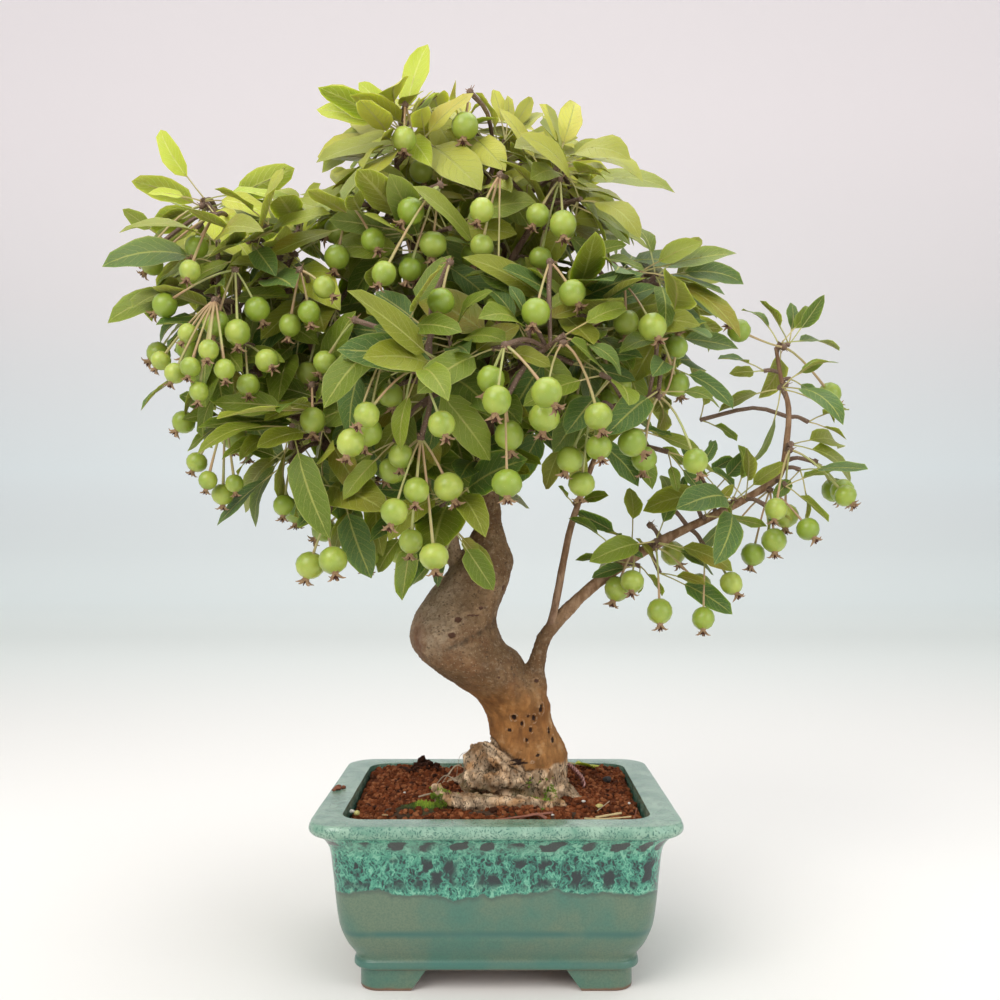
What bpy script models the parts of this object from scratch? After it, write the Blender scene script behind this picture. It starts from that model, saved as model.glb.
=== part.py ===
"""Hall crabapple bonsai in a glazed oblong pot.

The scene is in metres, +Z up. Sizes and places below are in millimetres, and finish turns a piece's
millimetres into metres. The origin is the centre of the pot's footprint on the surface that it stands
on, and the front is towards -Y.
"""

import math
import random

import bmesh
import bpy
from mathutils import Matrix, Vector
from mathutils.bvhtree import BVHTree

MM = 0.001
SEAT_GAP = 0.35
# A fused piece keeps the smallest of these shares of its faces that leaves its volume within the change.
THIN_RATIOS = (0.55, 0.6, 0.65, 0.7, 0.75, 0.8, 0.85, 0.9)
THIN_CHANGE = 0.004
FOLDED_BACK = math.radians(176)

POT_WIDTH = 220
POT_DEPTH = 195
POT_HEIGHT = 105
POT_BASE = 12.5
POT_FLOOR = 22
RIM_CORNER = 20
FOOT_INSET = 28
FOOT_WALL = 13
FOOT_BOTTOM = 31
FOOT_TOP = 40
PANEL_HALF_WIDTH = 73
PANEL_LOW = 36
PANEL_HIGH = 86.5
PANEL_NOTCH = 4
PANEL_DEPTH = 1
DRAIN_X = 44
DRAIN_RADIUS = 6
SCREEN_SIZE = 24
SCREEN_THICK = 1.2
SCREEN_PITCH = 10
SCREEN_HOLE = 7

SOIL_EDGE = 97
SOIL_CROWN = 103
SOIL_BACK_RISE = 4.5
TWIG_SIDES = 3
HUB_RADIUS = 2.2
FRUIT_RADIUS = 8.4
STALK_RADIUS = 0.75
STALK_LENGTH = 40
LEAF_REACH = 58
PETIOLE_LENGTH = 16
LEAF_THICK = 1.3
LEAF_STATIONS = (0.33, 0.72, 1)
LEAF_MARGIN = 1.1
LEAF_TRIES = 30
OPEN_FRONT = 35
FRUIT_TRIES = 40

UP = Vector((0, 0, 1))

# Outer wall from the underside to the rim, then down the inner wall: inset from the rim, height.
POT_PROFILE = (
    (28, POT_BASE), (24.7, 14.5), (24.7, 18), (25.5, 20.5), (20.5, 29), (17, 38), (15.3, 47), (14, 59),
    (12.8, 73), (11, 87), (6, 95), (1.5, 97.5), (0, 100.5), (1, 104), (3, POT_HEIGHT),
    (16.5, POT_HEIGHT), (18, 103), (19, 88), (24, 45), (30, POT_FLOOR),
)
PANEL_ROWS = slice(6, 9)

# Trunk from the buried stump up to where it thins: x, y, height, width across the front.
TRUNK = (
    (14, 0, 66, 36), (17, 0, 94, 61), (19, 0, 114, 54), (20, 0, 132, 47.5), (16, 0, 151, 41.5),
    (10.5, -2, 165, 47.5), (-8, -6, 180, 59), (-19, -10, 194, 69), (-26.5, -12, 204, 62), (-26.5, -12, 218, 54),
    (-20.5, -9, 231, 49), (-14, -5, 244, 43), (-9, -1, 256, 38), (-6, 2, 268, 27), (-5, 4, 281, 18),
)

# Surface roots and bulges at the trunk's foot: x, y, z, thickness.
ROOTS = (
    ((-38, -33, 116, 7), (-34, -36, 105, 11), (-17, -35, 102, 14), (15, -33, 101, 14), (40, -31, 97, 9)),
    ((-20, -18, 118, 10), (-8, -22, 114, 14), (24, -19, 111, 12)),
    ((-12, -8, 137, 9), (-12, -10, 126, 22), (-14, -6, 104, 22)),
    ((24, -8, 128, 26), (38, -8, 109, 19), (62, -6, 92, 7)),
    ((-2, 10, 120, 26), (-18, 20, 106, 18), (-50, 36, 91, 7)),
    ((22, 12, 120, 28), (28, 26, 106, 19), (38, 56, 91, 7)),
    ((28, -14, 112, 16), (44, -34, 95, 8)),
)

# The leader, limbs and branches: x, y, z, thickness.
LIMBS = {
    "leader": ((-9, 0, 262, 20), (-5, 4, 280, 17), (-5, 5, 303, 11.5), (-6, 2, 342, 8.8), (-6, 0, 401, 7.4),
               (-6, 2, 468, 5.4), (-7, 4, 497, 4.2), (-1, 6, 524, 3)),
    "leftLow": ((-14, -4, 240, 14), (-27, -5, 255, 11), (-33, -8, 276, 9.8), (-47, -12, 295, 8.4),
                (-72, -17, 313, 7.7), (-106, -21, 327, 7.1), (-124, -23, 346, 6.4), (-138, -24, 362, 5.7),
                (-154, -23, 380, 5), (-168, -19, 414, 3.4)),
    "leftUp": ((-123, -23, 345, 6), (-117, -21, 369, 5.5), (-118, -18, 391, 5.2), (-127, -15, 413, 4.9),
               (-135, -13, 431, 4.5), (-137, -12, 447, 4), (-162, -10, 465, 3.2), (-184, -8, 483, 2.6)),
    "topLeft": ((-6, 0, 390, 6.6), (-27, -6, 412, 6), (-43, -10, 433, 5.5), (-53, -14, 457, 5),
                (-57, -14, 475, 4.4), (-65, -12, 512, 3.4), (-62, -12, 528, 2.6)),
    "topRight": ((-6, 1, 425, 5.4), (9, -8, 451, 4.8), (33, -12, 490, 3.4), (39, -12, 506, 2.6)),
    "rightUp": ((-6, 0, 358, 6), (18, -14, 375, 5.4), (46, -30, 393, 4.6), (80, -40, 418, 3.4),
                (95, -40, 429, 2.6)),
    "rightLow": ((-5, 3, 330, 6), (21, -20, 341, 5.3), (71, -52, 350, 3.8), (92, -60, 355, 2.8)),
    "front": ((-6, 1, 345, 6), (-17, -38, 353, 5.2), (-30, -72, 358, 4.4), (-40, -98, 360, 3)),
    "frontRight": ((-6, 0, 366, 6), (8, -45, 370, 5.2), (22, -74, 376, 4.2), (31, -96, 380, 3)),
    "back": ((-6, 1, 352, 6.2), (2, 42, 374, 5.8), (12, 79, 395, 5), (19, 107, 412, 3.4)),
    "backLeft": ((-5, 3, 326, 6.2), (-34, 42, 350, 5.8), (-70, 74, 374, 5), (-104, 90, 398, 3.4)),
    "backHigh": ((-6, 1, 412, 5.6), (-2, 34, 444, 5.2), (6, 60, 478, 4.4), (10, 74, 506, 3)),
    "backRight": ((-6, 0, 376, 6), (30, 40, 386, 5.6), (70, 68, 402, 4.6), (104, 82, 418, 3)),
    "low": ((17, -4, 152, 14), (25, -9, 168, 15), (26, -9, 188, 11.5), (34, -6, 209, 9.4), (56, -1, 232, 8),
            (82, 2, 252, 7.2), (109, 4, 268, 6.5), (146, 6, 286, 5.6), (170, 5, 299, 5.2), (188, 4, 312, 4.8),
            (192, 2, 332, 4.3), (193, 0, 356, 3.7), (188, -1, 374, 3.1), (184, -2, 396, 2.4)),
    "thin": ((34, -6, 208, 6), (38, -8, 225, 5), (44, -4, 255, 4.6), (49, -2, 278, 4.3), (60, 3, 310, 3.7),
             (72, 8, 340, 2.7)),
}

# Leafy twigs: the limb, how far along it, the twig's reach in x, y, z, the leaves that the outline needs
# as (heading seen from the front in degrees, reach), how many more by rule, and how young the leaves are.
TWIGS = (
    ("topLeft", 0.98, (2, -4, 8), ((78, 62), (55, 34), (133, 44), (155, 58)), 3, 1),
    ("topLeft", 0.66, (-14, -8, 8), ((158, 40), (184, 50)), 4, 0.2),
    ("leader", 0.985, (3, -5, 8), ((133, 54), (150, 48), (92, 38), (48, 42)), 2, 0.4),
    ("topRight", 0.97, (0, -5, 8), ((94, 40), (74, 58), (14, 42)), 4, 0.4),
    ("topRight", 0.55, (14, -8, 4), ((-30, 52), (10, 56)), 4, 0),
    ("leader", 0.86, (-6, -14, 4), ((149, 56), (20, 40)), 4, 0),
    ("leftUp", 0.98, (-9, -3, 9), ((126, 54), (200, 52), (222, 58), (165, 34)), 4, 0.9),
    ("leftUp", 0.62, (8, -8, 8), ((54, 46), (163, 50), (100, 42)), 4, 0.9),
    ("leftLow", 0.98, (-12, -3, 6), ((160, 58), (190, 48)), 4, 0.1),
    ("leftLow", 0.82, (-20, -8, -3), ((242, 44), (262, 40), (205, 46)), 4, 0),
    ("leftUp", 0.36, (24, -14, 10), ((250, 48), (300, 44)), 4, 0),
    ("leftLow", 0.60, (-14, -13, -10), ((229, 58), (192, 48)), 4, 0),
    ("leftLow", 0.38, (-7, -14, -8), ((221, 74), (240, 44), (268, 48)), 4, 0),
    ("leftLow", 0.14, (6, -14, 5), ((-62, 46), (-95, 42)), 2, 0),
    ("front", 0.98, (-6, -8, 8), ((216, 50), (250, 48), (160, 44)), 2, 0),
    ("front", 0.62, (-18, -8, -8), ((216, 50), (262, 44)), 2, 0),
    ("frontRight", 0.98, (8, -8, 4), ((-18, 50), (-75, 46), (30, 42)), 2, 0),
    ("frontRight", 0.60, (4, -12, 22), ((120, 44), (40, 46)), 2, 0),
    ("rightUp", 0.98, (6, -2, 6), ((5, 58), (-18, 50), (45, 40), (100, 40)), 2, 0.1),
    ("rightUp", 0.60, (12, -14, -6), ((-16, 52), (-58, 62)), 4, 0),
    ("rightLow", 0.98, (7, -5, 4), ((-5, 44), (-50, 46)), 4, 0),
    ("rightLow", 0.52, (3, -12, -9), ((-80, 44), (-120, 44)), 2, 0),
    ("thin", 0.98, (4, -5, 6), ((60, 38), (-20, 42)), 4, 0),
    ("back", 0.98, (3, 9, 5), (), 5, 0),
    ("backLeft", 0.98, (-9, 5, 6), ((150, 44),), 5, 0),
    ("backHigh", 0.98, (1, 5, 9), ((70, 40),), 5, 0.5),
    ("backRight", 0.98, (9, 5, 5), ((20, 44),), 5, 0),
    ("backRight", 0.45, (3, 14, 14), (), 5, 0),
    ("low", 0.985, (2, -2, 7), ((47, 42), (115, 38)), 2, 0.5),
    ("low", 0.90, (-5, -5, 5), ((185, 42), (43, 40), (-10, 44)), 2, 0.2),
    ("low", 0.79, (2, -8, 4), ((-8, 66), (-45, 46)), 1, 0),
    ("low", 0.60, (9, -6, 9), ((73, 38), (43, 44)), 4, 0),
    ("low", 0.43, (7, -8, 7), ((-48, 60), (60, 40)), 4, 0),
    ("backLeft", 0.46, (-6, 4, 16), (), 4, 0),
)

# Longer shoots that grow on from a twig's tip: the twig, the reach in x, y, z and how many leaves by rule.
SHOOTS = (
    (0, (6, 38, -8), 4),
    (1, (14, 50, -18), 5),
    (2, (-6, 36, 4), 4),
    (3, (14, 38, -12), 4),
    (4, (18, 34, -8), 4),
    (4, (18, -30, 5), 4),
    (6, (-4, 54, 6), 5),
    (7, (-24, 36, 5), 5),
    (8, (7, -28, 36), 5),
    (9, (-6, 48, -6), 4),
    (10, (10, 45, 25), 5),
    (11, (10, 54, 6), 4),
    (11, (8, -40, 8), 3),
    (13, (0, -43, 25), 3),
    (13, (-14, 50, 18), 4),
    (18, (-10, 43, -1), 5),
    (20, (8, 30, 26), 4),
    (22, (-37, 21, 17), 4),
    (24, (50, -12, -10), 4),
    (25, (-47, 10, -5), 5),
    (26, (-8, -42, 20), 5),
    (26, (-22, 23, -28), 3),
    (27, (12, -1, 56), 5),
    (33, (33, -14, 38), 4),
    (33, (-18, -26, 24), 4),
)

# Fruit bunches: the twig that they hang from and each stalk's heading seen from the front, in degrees.
BUNCHES = (
    (1, (-60, 200, -95)),
    (4, (-55, -95, -130)),
    (5, (-60, -120, -90)),
    (6, (230, -85)),
    (8, (205, 240, -90, -60)),
    (9, (200, 228, 255, -70)),
    (10, (-60, -110)),
    (11, (225, 255, -80)),
    (12, (215, 238, 262)),
    (14, (222, 248, 270, 298)),
    (16, (-60, -100, -20)),
    (19, (-75, -45, -100)),
    (20, (-105, -55, 60)),
    (24, (-60, -120)),
    (28, (160, -35)),
    (30, (-40, -75, -110, -10)),
    (32, (-30, -70)),
)

WIRE_KNOTS = ((58, 16, 78), (58.5, 16, 104), (54, 17, 112), (48.5, 18, 117))
WIRE_RADII = (1.5, 1.5, 1.4, 0.9)

# Moss cushions: the middle's x and y, the reach in x and y, and the rise.
MOSSES = {
    "moss_left": (-52, -42, 17, 11, 4.5),
    "moss_front": (18, -54, 34, 9, 3.5),
}

COLOURS = {
    "glaze": ((0.075, 0.215, 0.175), 0.22),
    "soil": ((0.30, 0.135, 0.06), 0.95),
    "moss": ((0.11, 0.15, 0.035), 0.95),
    "screen": ((0.03, 0.03, 0.03), 0.6),
    "wire": ((0.48, 0.29, 0.20), 0.4),
    "bark": ((0.30, 0.19, 0.11), 0.85),
    "leaf": ((0.17, 0.27, 0.05), 0.55),
    "young_leaf": ((0.38, 0.48, 0.06), 0.5),
    "fallen_leaf": ((0.45, 0.42, 0.10), 0.6),
    "fruit": ((0.30, 0.47, 0.06), 0.35),
}


def material(name):
    found = bpy.data.materials.get(name)
    if found:
        return found
    colour, roughness = COLOURS[name]
    made = bpy.data.materials.new(name)
    made.use_nodes = True
    shader = made.node_tree.nodes["Principled BSDF"]
    shader.inputs["Base Color"].default_value = (*colour, 1)
    shader.inputs["Roughness"].default_value = roughness
    shader.inputs["Metallic"].default_value = 0.9 if name == "wire" else 0
    made.diffuse_color = (*colour, 1)
    return made


def loft(rings):
    """Points and faces of a closed skin over rings that turn right-handed about its course.

    A ring of one point is a tip.
    """
    points = []
    faces = []
    spans = []
    for ring in rings:
        spans.append(list(range(len(points), len(points) + len(ring))))
        points += ring
    if len(spans[0]) > 1:
        faces.append(tuple(reversed(spans[0])))
    for low, high in zip(spans, spans[1:]):
        count = max(len(low), len(high))
        for i in range(count):
            j = (i + 1) % count
            if len(low) == 1:
                faces.append((low[0], high[j], high[i]))
            elif len(high) == 1:
                faces.append((low[i], low[j], high[0]))
            else:
                faces.append((low[i], low[j], high[j], high[i]))
    if len(spans[-1]) > 1:
        faces.append(tuple(spans[-1]))
    return points, faces


def smooth_route(knots, steps):
    """Points and radii on a smooth curve through knots of x, y, z and thickness."""
    rows = [Vector(knot) for knot in knots]
    rows = [2 * rows[0] - rows[1], *rows, 2 * rows[-1] - rows[-2]]
    found = []
    for a, b, c, d in zip(rows, rows[1:], rows[2:], rows[3:]):
        for step in range(steps):
            t = step / steps
            bend = (2 * a - 5 * b + 4 * c - d) * t * t + (3 * b - a - 3 * c + d) * t**3
            found.append(0.5 * (2 * b + (c - a) * t + bend))
    found.append(rows[-2])
    return [row.xyz for row in found], [row[3] / 2 for row in found]


def turned_rings(rows, sides):
    """Round rings about a course of (middle, heading, radius), carried along without twist."""
    side = rows[0][1].orthogonal().normalized()
    rings = []
    for middle, heading, radius in rows:
        course = heading.normalized()
        side = (side - course * side.dot(course)).normalized()
        across = course.cross(side)
        ring = []
        for k in range(sides):
            angle = math.tau * k / sides
            ring.append(middle + radius * (math.cos(angle) * side + math.sin(angle) * across))
        rings.append(ring)
    return rings


def tube(points, radii, sides):
    rows = []
    for i, point in enumerate(points):
        ahead = points[min(i + 1, len(points) - 1)] - points[max(i - 1, 0)]
        rows.append((point, ahead, radii[i]))
    return loft(turned_rings(rows, sides))


def ball(centre, radius, sides, rows):
    turns = [math.pi * row / rows for row in range(1, rows)]
    middles = [(centre - UP * radius * math.cos(turn), UP, radius * math.sin(turn)) for turn in turns]
    return loft([[centre - UP * radius], *turned_rings(middles, sides), [centre + UP * radius]])


def trunk_shape(extra=0.0):
    """The trunk from level rings, lobed by a formula where it is thick."""
    rings = []
    sides = 12
    for x, y, z, width in TRUNK:
        lobes = min(1, width / 40) ** 2
        depth = (1 - 0.12 * lobes) * min(1, 61 / width)
        ring = []
        for k in range(sides):
            angle = math.tau * k / sides
            swell = 0.05 * math.sin(2 * angle + z / 17) + 0.04 * math.sin(3 * angle - z / 11)
            reach = (1 + lobes * swell) * width / 2 + extra
            ring.append(Vector((x + reach * math.cos(angle), y + reach * depth * math.sin(angle), z)))
        rings.append(ring)
    return loft(rings)


def limb_route(name):
    return smooth_route(LIMBS[name], 1 if len(LIMBS[name]) > 6 else 2)


def wood_shapes(extra=0.0):
    shapes = [trunk_shape(extra)]
    for knots in ROOTS:
        points, radii = smooth_route(knots, 1)
        shapes.append(tube(points, [radius + extra for radius in radii], 6))
    for name in LIMBS:
        points, radii = limb_route(name)
        shapes.append(tube(points, [radius + extra for radius in radii], 5 if radii[0] < 4 else 6))
    return shapes


def along(points, radii, share):
    """The point, heading and radius at a share of a route's length."""
    lengths = [(b - a).length for a, b in zip(points, points[1:])]
    left = share * sum(lengths)
    for i, length in enumerate(lengths):
        if left <= length or i == len(lengths) - 1:
            t = left / length
            heading = (points[i + 1] - points[i]).normalized()
            return points[i].lerp(points[i + 1], t), heading, radii[i] + (radii[i + 1] - radii[i]) * t
        left -= length


def blade_width(t):
    """Half the blade's width at a share of its length, as a share of its widest."""
    return 2.02 * t**0.62 * (1 - t) ** 1.02


def leaf_shape(leaf, thick, petiole_from=0.0):
    """A leaf as a thin skin: a petiole from its root, then a blade with a rib below, arched and waved."""
    ahead = leaf["ahead"]
    up = (leaf["up"] - ahead * leaf["up"].dot(ahead)).normalized()
    right = ahead.cross(up)
    base = leaf["root"] + ahead * leaf["petiole"]
    stem = 0.55 * thick
    rings = []
    for place in (leaf["root"].lerp(base, petiole_from), base):
        flat = place + up * stem / 2
        rings.append([flat + right * stem, place - up * stem, flat - right * stem])
    arch = leaf["arch"]
    for t in LEAF_STATIONS:
        bend = arch * t
        centre = base + leaf["length"] * (math.sin(bend) * ahead - (1 - math.cos(bend)) * up) / arch
        if t == 1:
            rings.append([centre])
            continue
        normal = math.cos(bend) * up + math.sin(bend) * ahead
        turned = leaf["twist"] * t
        side = math.cos(turned) * right + math.sin(turned) * normal
        normal = math.cos(turned) * normal - math.sin(turned) * right
        half = leaf["width"] * blade_width(t)
        lift = thick / 2 + leaf["wave"] * math.sin(9 * t + leaf["phase"])
        other = thick / 2 + leaf["wave"] * math.sin(8 * t + 2 + leaf["phase"])
        rings.append([
            centre + side * half + normal * lift,
            centre - normal * thick,
            centre - side * half + normal * other,
        ])
    return loft(rings)


def new_leaf(draw, root, ahead, up, reach, young):
    """A leaf's values, drawn about what a leaf of this reach from root to tip has."""
    petiole = min(PETIOLE_LENGTH, 0.34 * reach) * draw.uniform(0.9, 1.15)
    length = reach - petiole
    return {
        "root": root, "ahead": ahead, "up": up, "petiole": petiole, "length": length * 1.06,
        "width": length * draw.uniform(0.235, 0.29),
        "arch": math.radians(draw.uniform(18, 50) + 26 * (1 - young)),
        "twist": math.radians(draw.uniform(-22, 22)),
        "wave": draw.uniform(0.5, 1.3), "phase": draw.uniform(0, math.tau), "young": young,
    }


def new_fruit(draw, hub, heading, outward, spread):
    """A fruit's values: its stalk leaves the hub to one side and bends down to the fruit."""
    angle = math.radians(heading + draw.uniform(-spread, spread))
    depth = draw.uniform(-0.6, 0.6) + 0.25 * outward.y
    ahead = Vector((math.cos(angle), depth, math.sin(angle))).normalized()
    length = STALK_LENGTH * draw.uniform(0.78, 1.12)
    start = Vector((ahead.x, ahead.y, min(0, 0.3 * ahead.z))).normalized()
    bend = hub + start * length * 0.3
    end = hub + ahead * length * 0.92 - UP * length * 0.08
    axis = (end - bend).normalized()
    radius = FRUIT_RADIUS * draw.uniform(0.84, 1.06)
    return {"hub": hub, "bend": bend, "end": end, "axis": axis, "radius": radius,
            "centre": end + axis * radius * 0.85}


def fruit_shape(fruit, extra=0.0):
    """A fruit turned in one with its stalk and the flared calyx at its far end."""
    hub, bend, end = fruit["hub"], fruit["bend"], fruit["end"]
    axis, radius, centre = fruit["axis"], fruit["radius"], fruit["centre"]
    ahead = (bend - hub).normalized()
    rows = (
        (hub + ahead * HUB_RADIUS * 0.4, ahead, STALK_RADIUS + extra),
        (hub.lerp(bend, 0.6).lerp(bend.lerp(end, 0.6), 0.6), end - hub, STALK_RADIUS + extra),
        (end, axis, STALK_RADIUS + extra),
        (centre - axis * radius * 0.32, axis, radius * 0.96 + extra),
        (centre + axis * radius * 0.36, axis, radius * 0.93 + extra),
        (centre + axis * radius * 0.94, axis, 1.7 + extra),
        (centre + axis * (radius + 3.2), axis, 3 + extra),
    )
    return loft(turned_rings(rows, 5))


class Room:
    """What is already placed, to keep what comes next clear of it."""

    def __init__(self):
        self.placed = []

    def measured(self, shape):
        points = shape[0]
        centre = sum(points, Vector()) / len(points)
        return centre, max((point - centre).length for point in points)

    def add(self, owner, kind, shape):
        centre, radius = self.measured(shape)
        self.placed.append((owner, kind, centre, radius, BVHTree.FromPolygons(*shape)))

    def is_clear(self, shape, skip):
        centre, radius = self.measured(shape)
        tree = None
        for owner, kind, other, reach, other_tree in self.placed:
            if (owner, kind) in skip or (other - centre).length > radius + reach:
                continue
            tree = tree or BVHTree.FromPolygons(*shape)
            if tree.overlap(other_tree):
                return False
        return True


def twig_route(index):
    """A twig's points and radii, from the middle of its limb out to its thicker, knobbed tip."""
    limb, share, reach = TWIGS[index][:3]
    start, heading, radius = along(*limb_route(limb), share)
    end = start + Vector(reach)
    bow = heading * Vector(reach).length * 0.25
    return [start, start.lerp(end, 0.5) + bow, end + bow * 0.4], [min(1.8, 0.9 * radius), 1.6, 2.2]


def shoot_route(number):
    """A longer shoot's points and radii, out from inside its twig's knobbed tip."""
    index, reach, count = SHOOTS[number]
    points, radii = twig_route(index)
    start = points[-1].lerp(points[-2], 0.15)
    reach = Vector(reach)
    bow = UP * reach.length * 0.1
    return [start, start + reach / 2 + bow, start + reach], [1.6, 1.5, 1.8]


def hub_point(index):
    """Where a bunch sits: under the twig, close behind its tip."""
    points, radii = twig_route(index)
    point, heading, radius = along(points, radii, 0.8)
    below = (-UP - heading * heading.dot(-UP)).normalized()
    return point + below * (radius + 1.6)


def grow_crown():
    """Places each twig, fruit and leaf clear of what is there, and returns them by twig and bunch."""
    room = Room()
    for shape in wood_shapes(0.7):
        room.add(None, "wood", shape)
    for index in range(len(TWIGS)):
        points, radii = twig_route(index)
        room.add(index, "twig", tube(points, [radius + 0.7 for radius in radii], TWIG_SIDES))
    for number, (index, reach, count) in enumerate(SHOOTS):
        points, radii = shoot_route(number)
        room.add(index, "shoot", tube(points, [radius + 0.7 for radius in radii], TWIG_SIDES))
    bunches = [grow_bunch(room, number, *bunch) for number, bunch in enumerate(BUNCHES)]
    sprays = [grow_spray(room, index) for index in range(len(TWIGS))]
    return sprays, bunches


def grow_bunch(room, number, index, headings):
    draw = random.Random(700 + number)
    hub = hub_point(index)
    outward = Vector((hub.x, hub.y, 0)).normalized()
    owner = ("bunch", number)
    room.add(owner, "hub", ball(hub, HUB_RADIUS + 0.4, 5, 4))
    fruits = []
    for heading in headings:
        for attempt in range(FRUIT_TRIES):
            fruit = new_fruit(draw, hub, heading, outward, 6 + 1.5 * attempt)
            if room.is_clear(fruit_shape(fruit, 0.45), {(index, "twig"), (owner, "hub")}):
                fruits.append(fruit)
                room.add(owner, "fruit", fruit_shape(fruit))
                break
    return fruits


def leaf_heading(draw, outward, open_side, aimed, turn, spread):
    """The way a leaf leaves its twig and the way its upper face looks."""
    stray = Vector((draw.uniform(-1, 1), draw.uniform(-1, 1), draw.uniform(-1, 1)))
    if aimed is None:
        rise = math.radians(draw.uniform(-48, 30))
        flat = Vector((math.cos(turn), math.sin(turn), 0))
        ahead = flat * math.cos(rise) + UP * math.sin(rise) + 0.55 * outward
    else:
        angle = math.radians(aimed + draw.uniform(-4, 4))
        ahead = Vector((math.cos(angle), draw.uniform(-0.4, 0.2), math.sin(angle)))
    ahead = (ahead + spread * stray).normalized()
    skew = Vector((stray.y, stray.z, 0))
    face = 0.5 * UP + 0.35 * outward + open_side * draw.uniform(0.1, 0.9) + 0.2 * skew
    return ahead, face.normalized()


def grow_spray(room, index):
    aimed, more, young = TWIGS[index][3:]
    draw = random.Random(100 + index)
    wanted = [*aimed, *[(None, None)] * more]
    leaves = grow_leaves(room, index, draw, twig_route(index), wanted, young)
    for number, (twig, reach, count) in enumerate(SHOOTS):
        if twig == index:
            leaves += grow_leaves(room, index, draw, shoot_route(number), [(None, None)] * count, young)
    return leaves


def grow_leaves(room, index, draw, route, wanted, young):
    points, radii = route
    outward = Vector((points[-1].x + 6, points[-1].y, 0)).normalized()
    open_side = Vector((0, -1 if points[-1].y < OPEN_FRONT else 1, 0))
    leaves = []
    for number, (heading, reach) in enumerate(wanted):
        for attempt in range(LEAF_TRIES):
            centre, course, radius = along(points, radii, draw.uniform(0.6, 0.98))
            turn = math.radians(137.5 * (number + 0.37 * attempt) + 40 * index)
            ahead, face = leaf_heading(draw, outward, open_side, heading, turn, 0.025 * attempt)
            away = (ahead - course * ahead.dot(course)).normalized()
            root = centre + away * (radius - 0.9)
            size = reach or LEAF_REACH * draw.uniform(0.85, 1.25)
            leaf = new_leaf(draw, root, ahead, face, size * (1 - 0.008 * attempt), young)
            whole = leaf_shape(leaf, LEAF_THICK + LEAF_MARGIN)
            outer = leaf_shape(leaf, LEAF_THICK + LEAF_MARGIN, 0.25)
            if not room.is_clear(whole, {(index, "twig"), (index, "shoot"), (index, "leaf")}):
                continue
            if room.is_clear(outer, {(index, "twig"), (index, "shoot")}):
                leaves.append(leaf)
                room.add(index, "leaf", leaf_shape(leaf, LEAF_THICK))
                break
    return leaves


def new_object(name, shape):
    points, faces = shape
    bm = bmesh.new()
    made = [bm.verts.new(point) for point in points]
    for face in faces:
        bm.faces.new([made[i] for i in face])
    bmesh.ops.triangulate(bm, faces=bm.faces[:], quad_method="FIXED", ngon_method="EAR_CLIP")
    mesh = bpy.data.meshes.new(name)
    bm.to_mesh(mesh)
    bm.free()
    obj = bpy.data.objects.new(name, mesh)
    bpy.context.scene.collection.objects.link(obj)
    return obj


def drop(obj):
    mesh = obj.data
    bpy.data.objects.remove(obj)
    bpy.data.meshes.remove(mesh)


def bake_modifiers(obj):
    graph = bpy.context.evaluated_depsgraph_get()
    mesh = bpy.data.meshes.new_from_object(obj.evaluated_get(graph))
    obj.modifiers.clear()
    old = obj.data
    obj.data = mesh
    bpy.data.meshes.remove(old)


def fuse(name, shapes, solver="EXACT"):
    """One object from shapes that overlap, by one union over a collection of the rest."""
    obj = new_object(name, shapes[0])
    rest = bpy.data.collections.new("rest")
    bpy.context.scene.collection.children.link(rest)
    for shape in shapes[1:]:
        other = new_object("part", shape)
        bpy.context.scene.collection.objects.unlink(other)
        rest.objects.link(other)
    union = obj.modifiers.new("fuse", "BOOLEAN")
    union.operation = "UNION"
    union.operand_type = "COLLECTION"
    union.collection = rest
    union.solver = solver
    bake_modifiers(obj)
    for other in list(rest.objects):
        drop(other)
    bpy.data.collections.remove(rest)
    return obj


def own_crossings(bm):
    """How many pairs of faces that share no point touch or pass through each other."""
    tree = BVHTree.FromBMesh(bm)
    bm.faces.ensure_lookup_table()
    pairs = [(bm.faces[i], bm.faces[j]) for i, j in tree.overlap(tree) if i < j]
    return sum(not set(first.verts) & set(second.verts) for first, second in pairs)


def measured(mesh):
    """How many edges are open or shared by too many, how many faces fold back or cross, and the volume."""
    bm = bmesh.new()
    bm.from_mesh(mesh)
    faulty = sum(not item.is_manifold for item in [*bm.edges, *bm.verts])
    folded = sum(edge.calc_face_angle(0) > FOLDED_BACK for edge in bm.edges)
    found = faulty, folded, own_crossings(bm), bm.calc_volume()
    bm.free()
    return found


def thin_out(obj):
    """Leaves out faces that a union splits off, as long as the shape stays the same and clear of itself."""
    *faults, volume = measured(obj.data)
    for ratio in THIN_RATIOS:
        fewer = obj.modifiers.new("fewer", "DECIMATE")
        fewer.ratio = ratio
        fewer.use_collapse_triangulate = True
        graph = bpy.context.evaluated_depsgraph_get()
        mesh = bpy.data.meshes.new_from_object(obj.evaluated_get(graph))
        obj.modifiers.clear()
        *new_faults, new_volume = measured(mesh)
        none_new = all(new <= old for new, old in zip(new_faults, faults))
        if none_new and abs(new_volume - volume) < THIN_CHANGE * volume:
            obj.data = mesh
            return
        bpy.data.meshes.remove(mesh)


def cut(obj, cutters, solver="EXACT"):
    """Takes each cutter out of the object, one after another."""
    for cutter in cutters:
        hollow = obj.modifiers.new("cut", "BOOLEAN")
        hollow.operation = "DIFFERENCE"
        hollow.object = cutter
        hollow.solver = solver
        bake_modifiers(obj)


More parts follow.
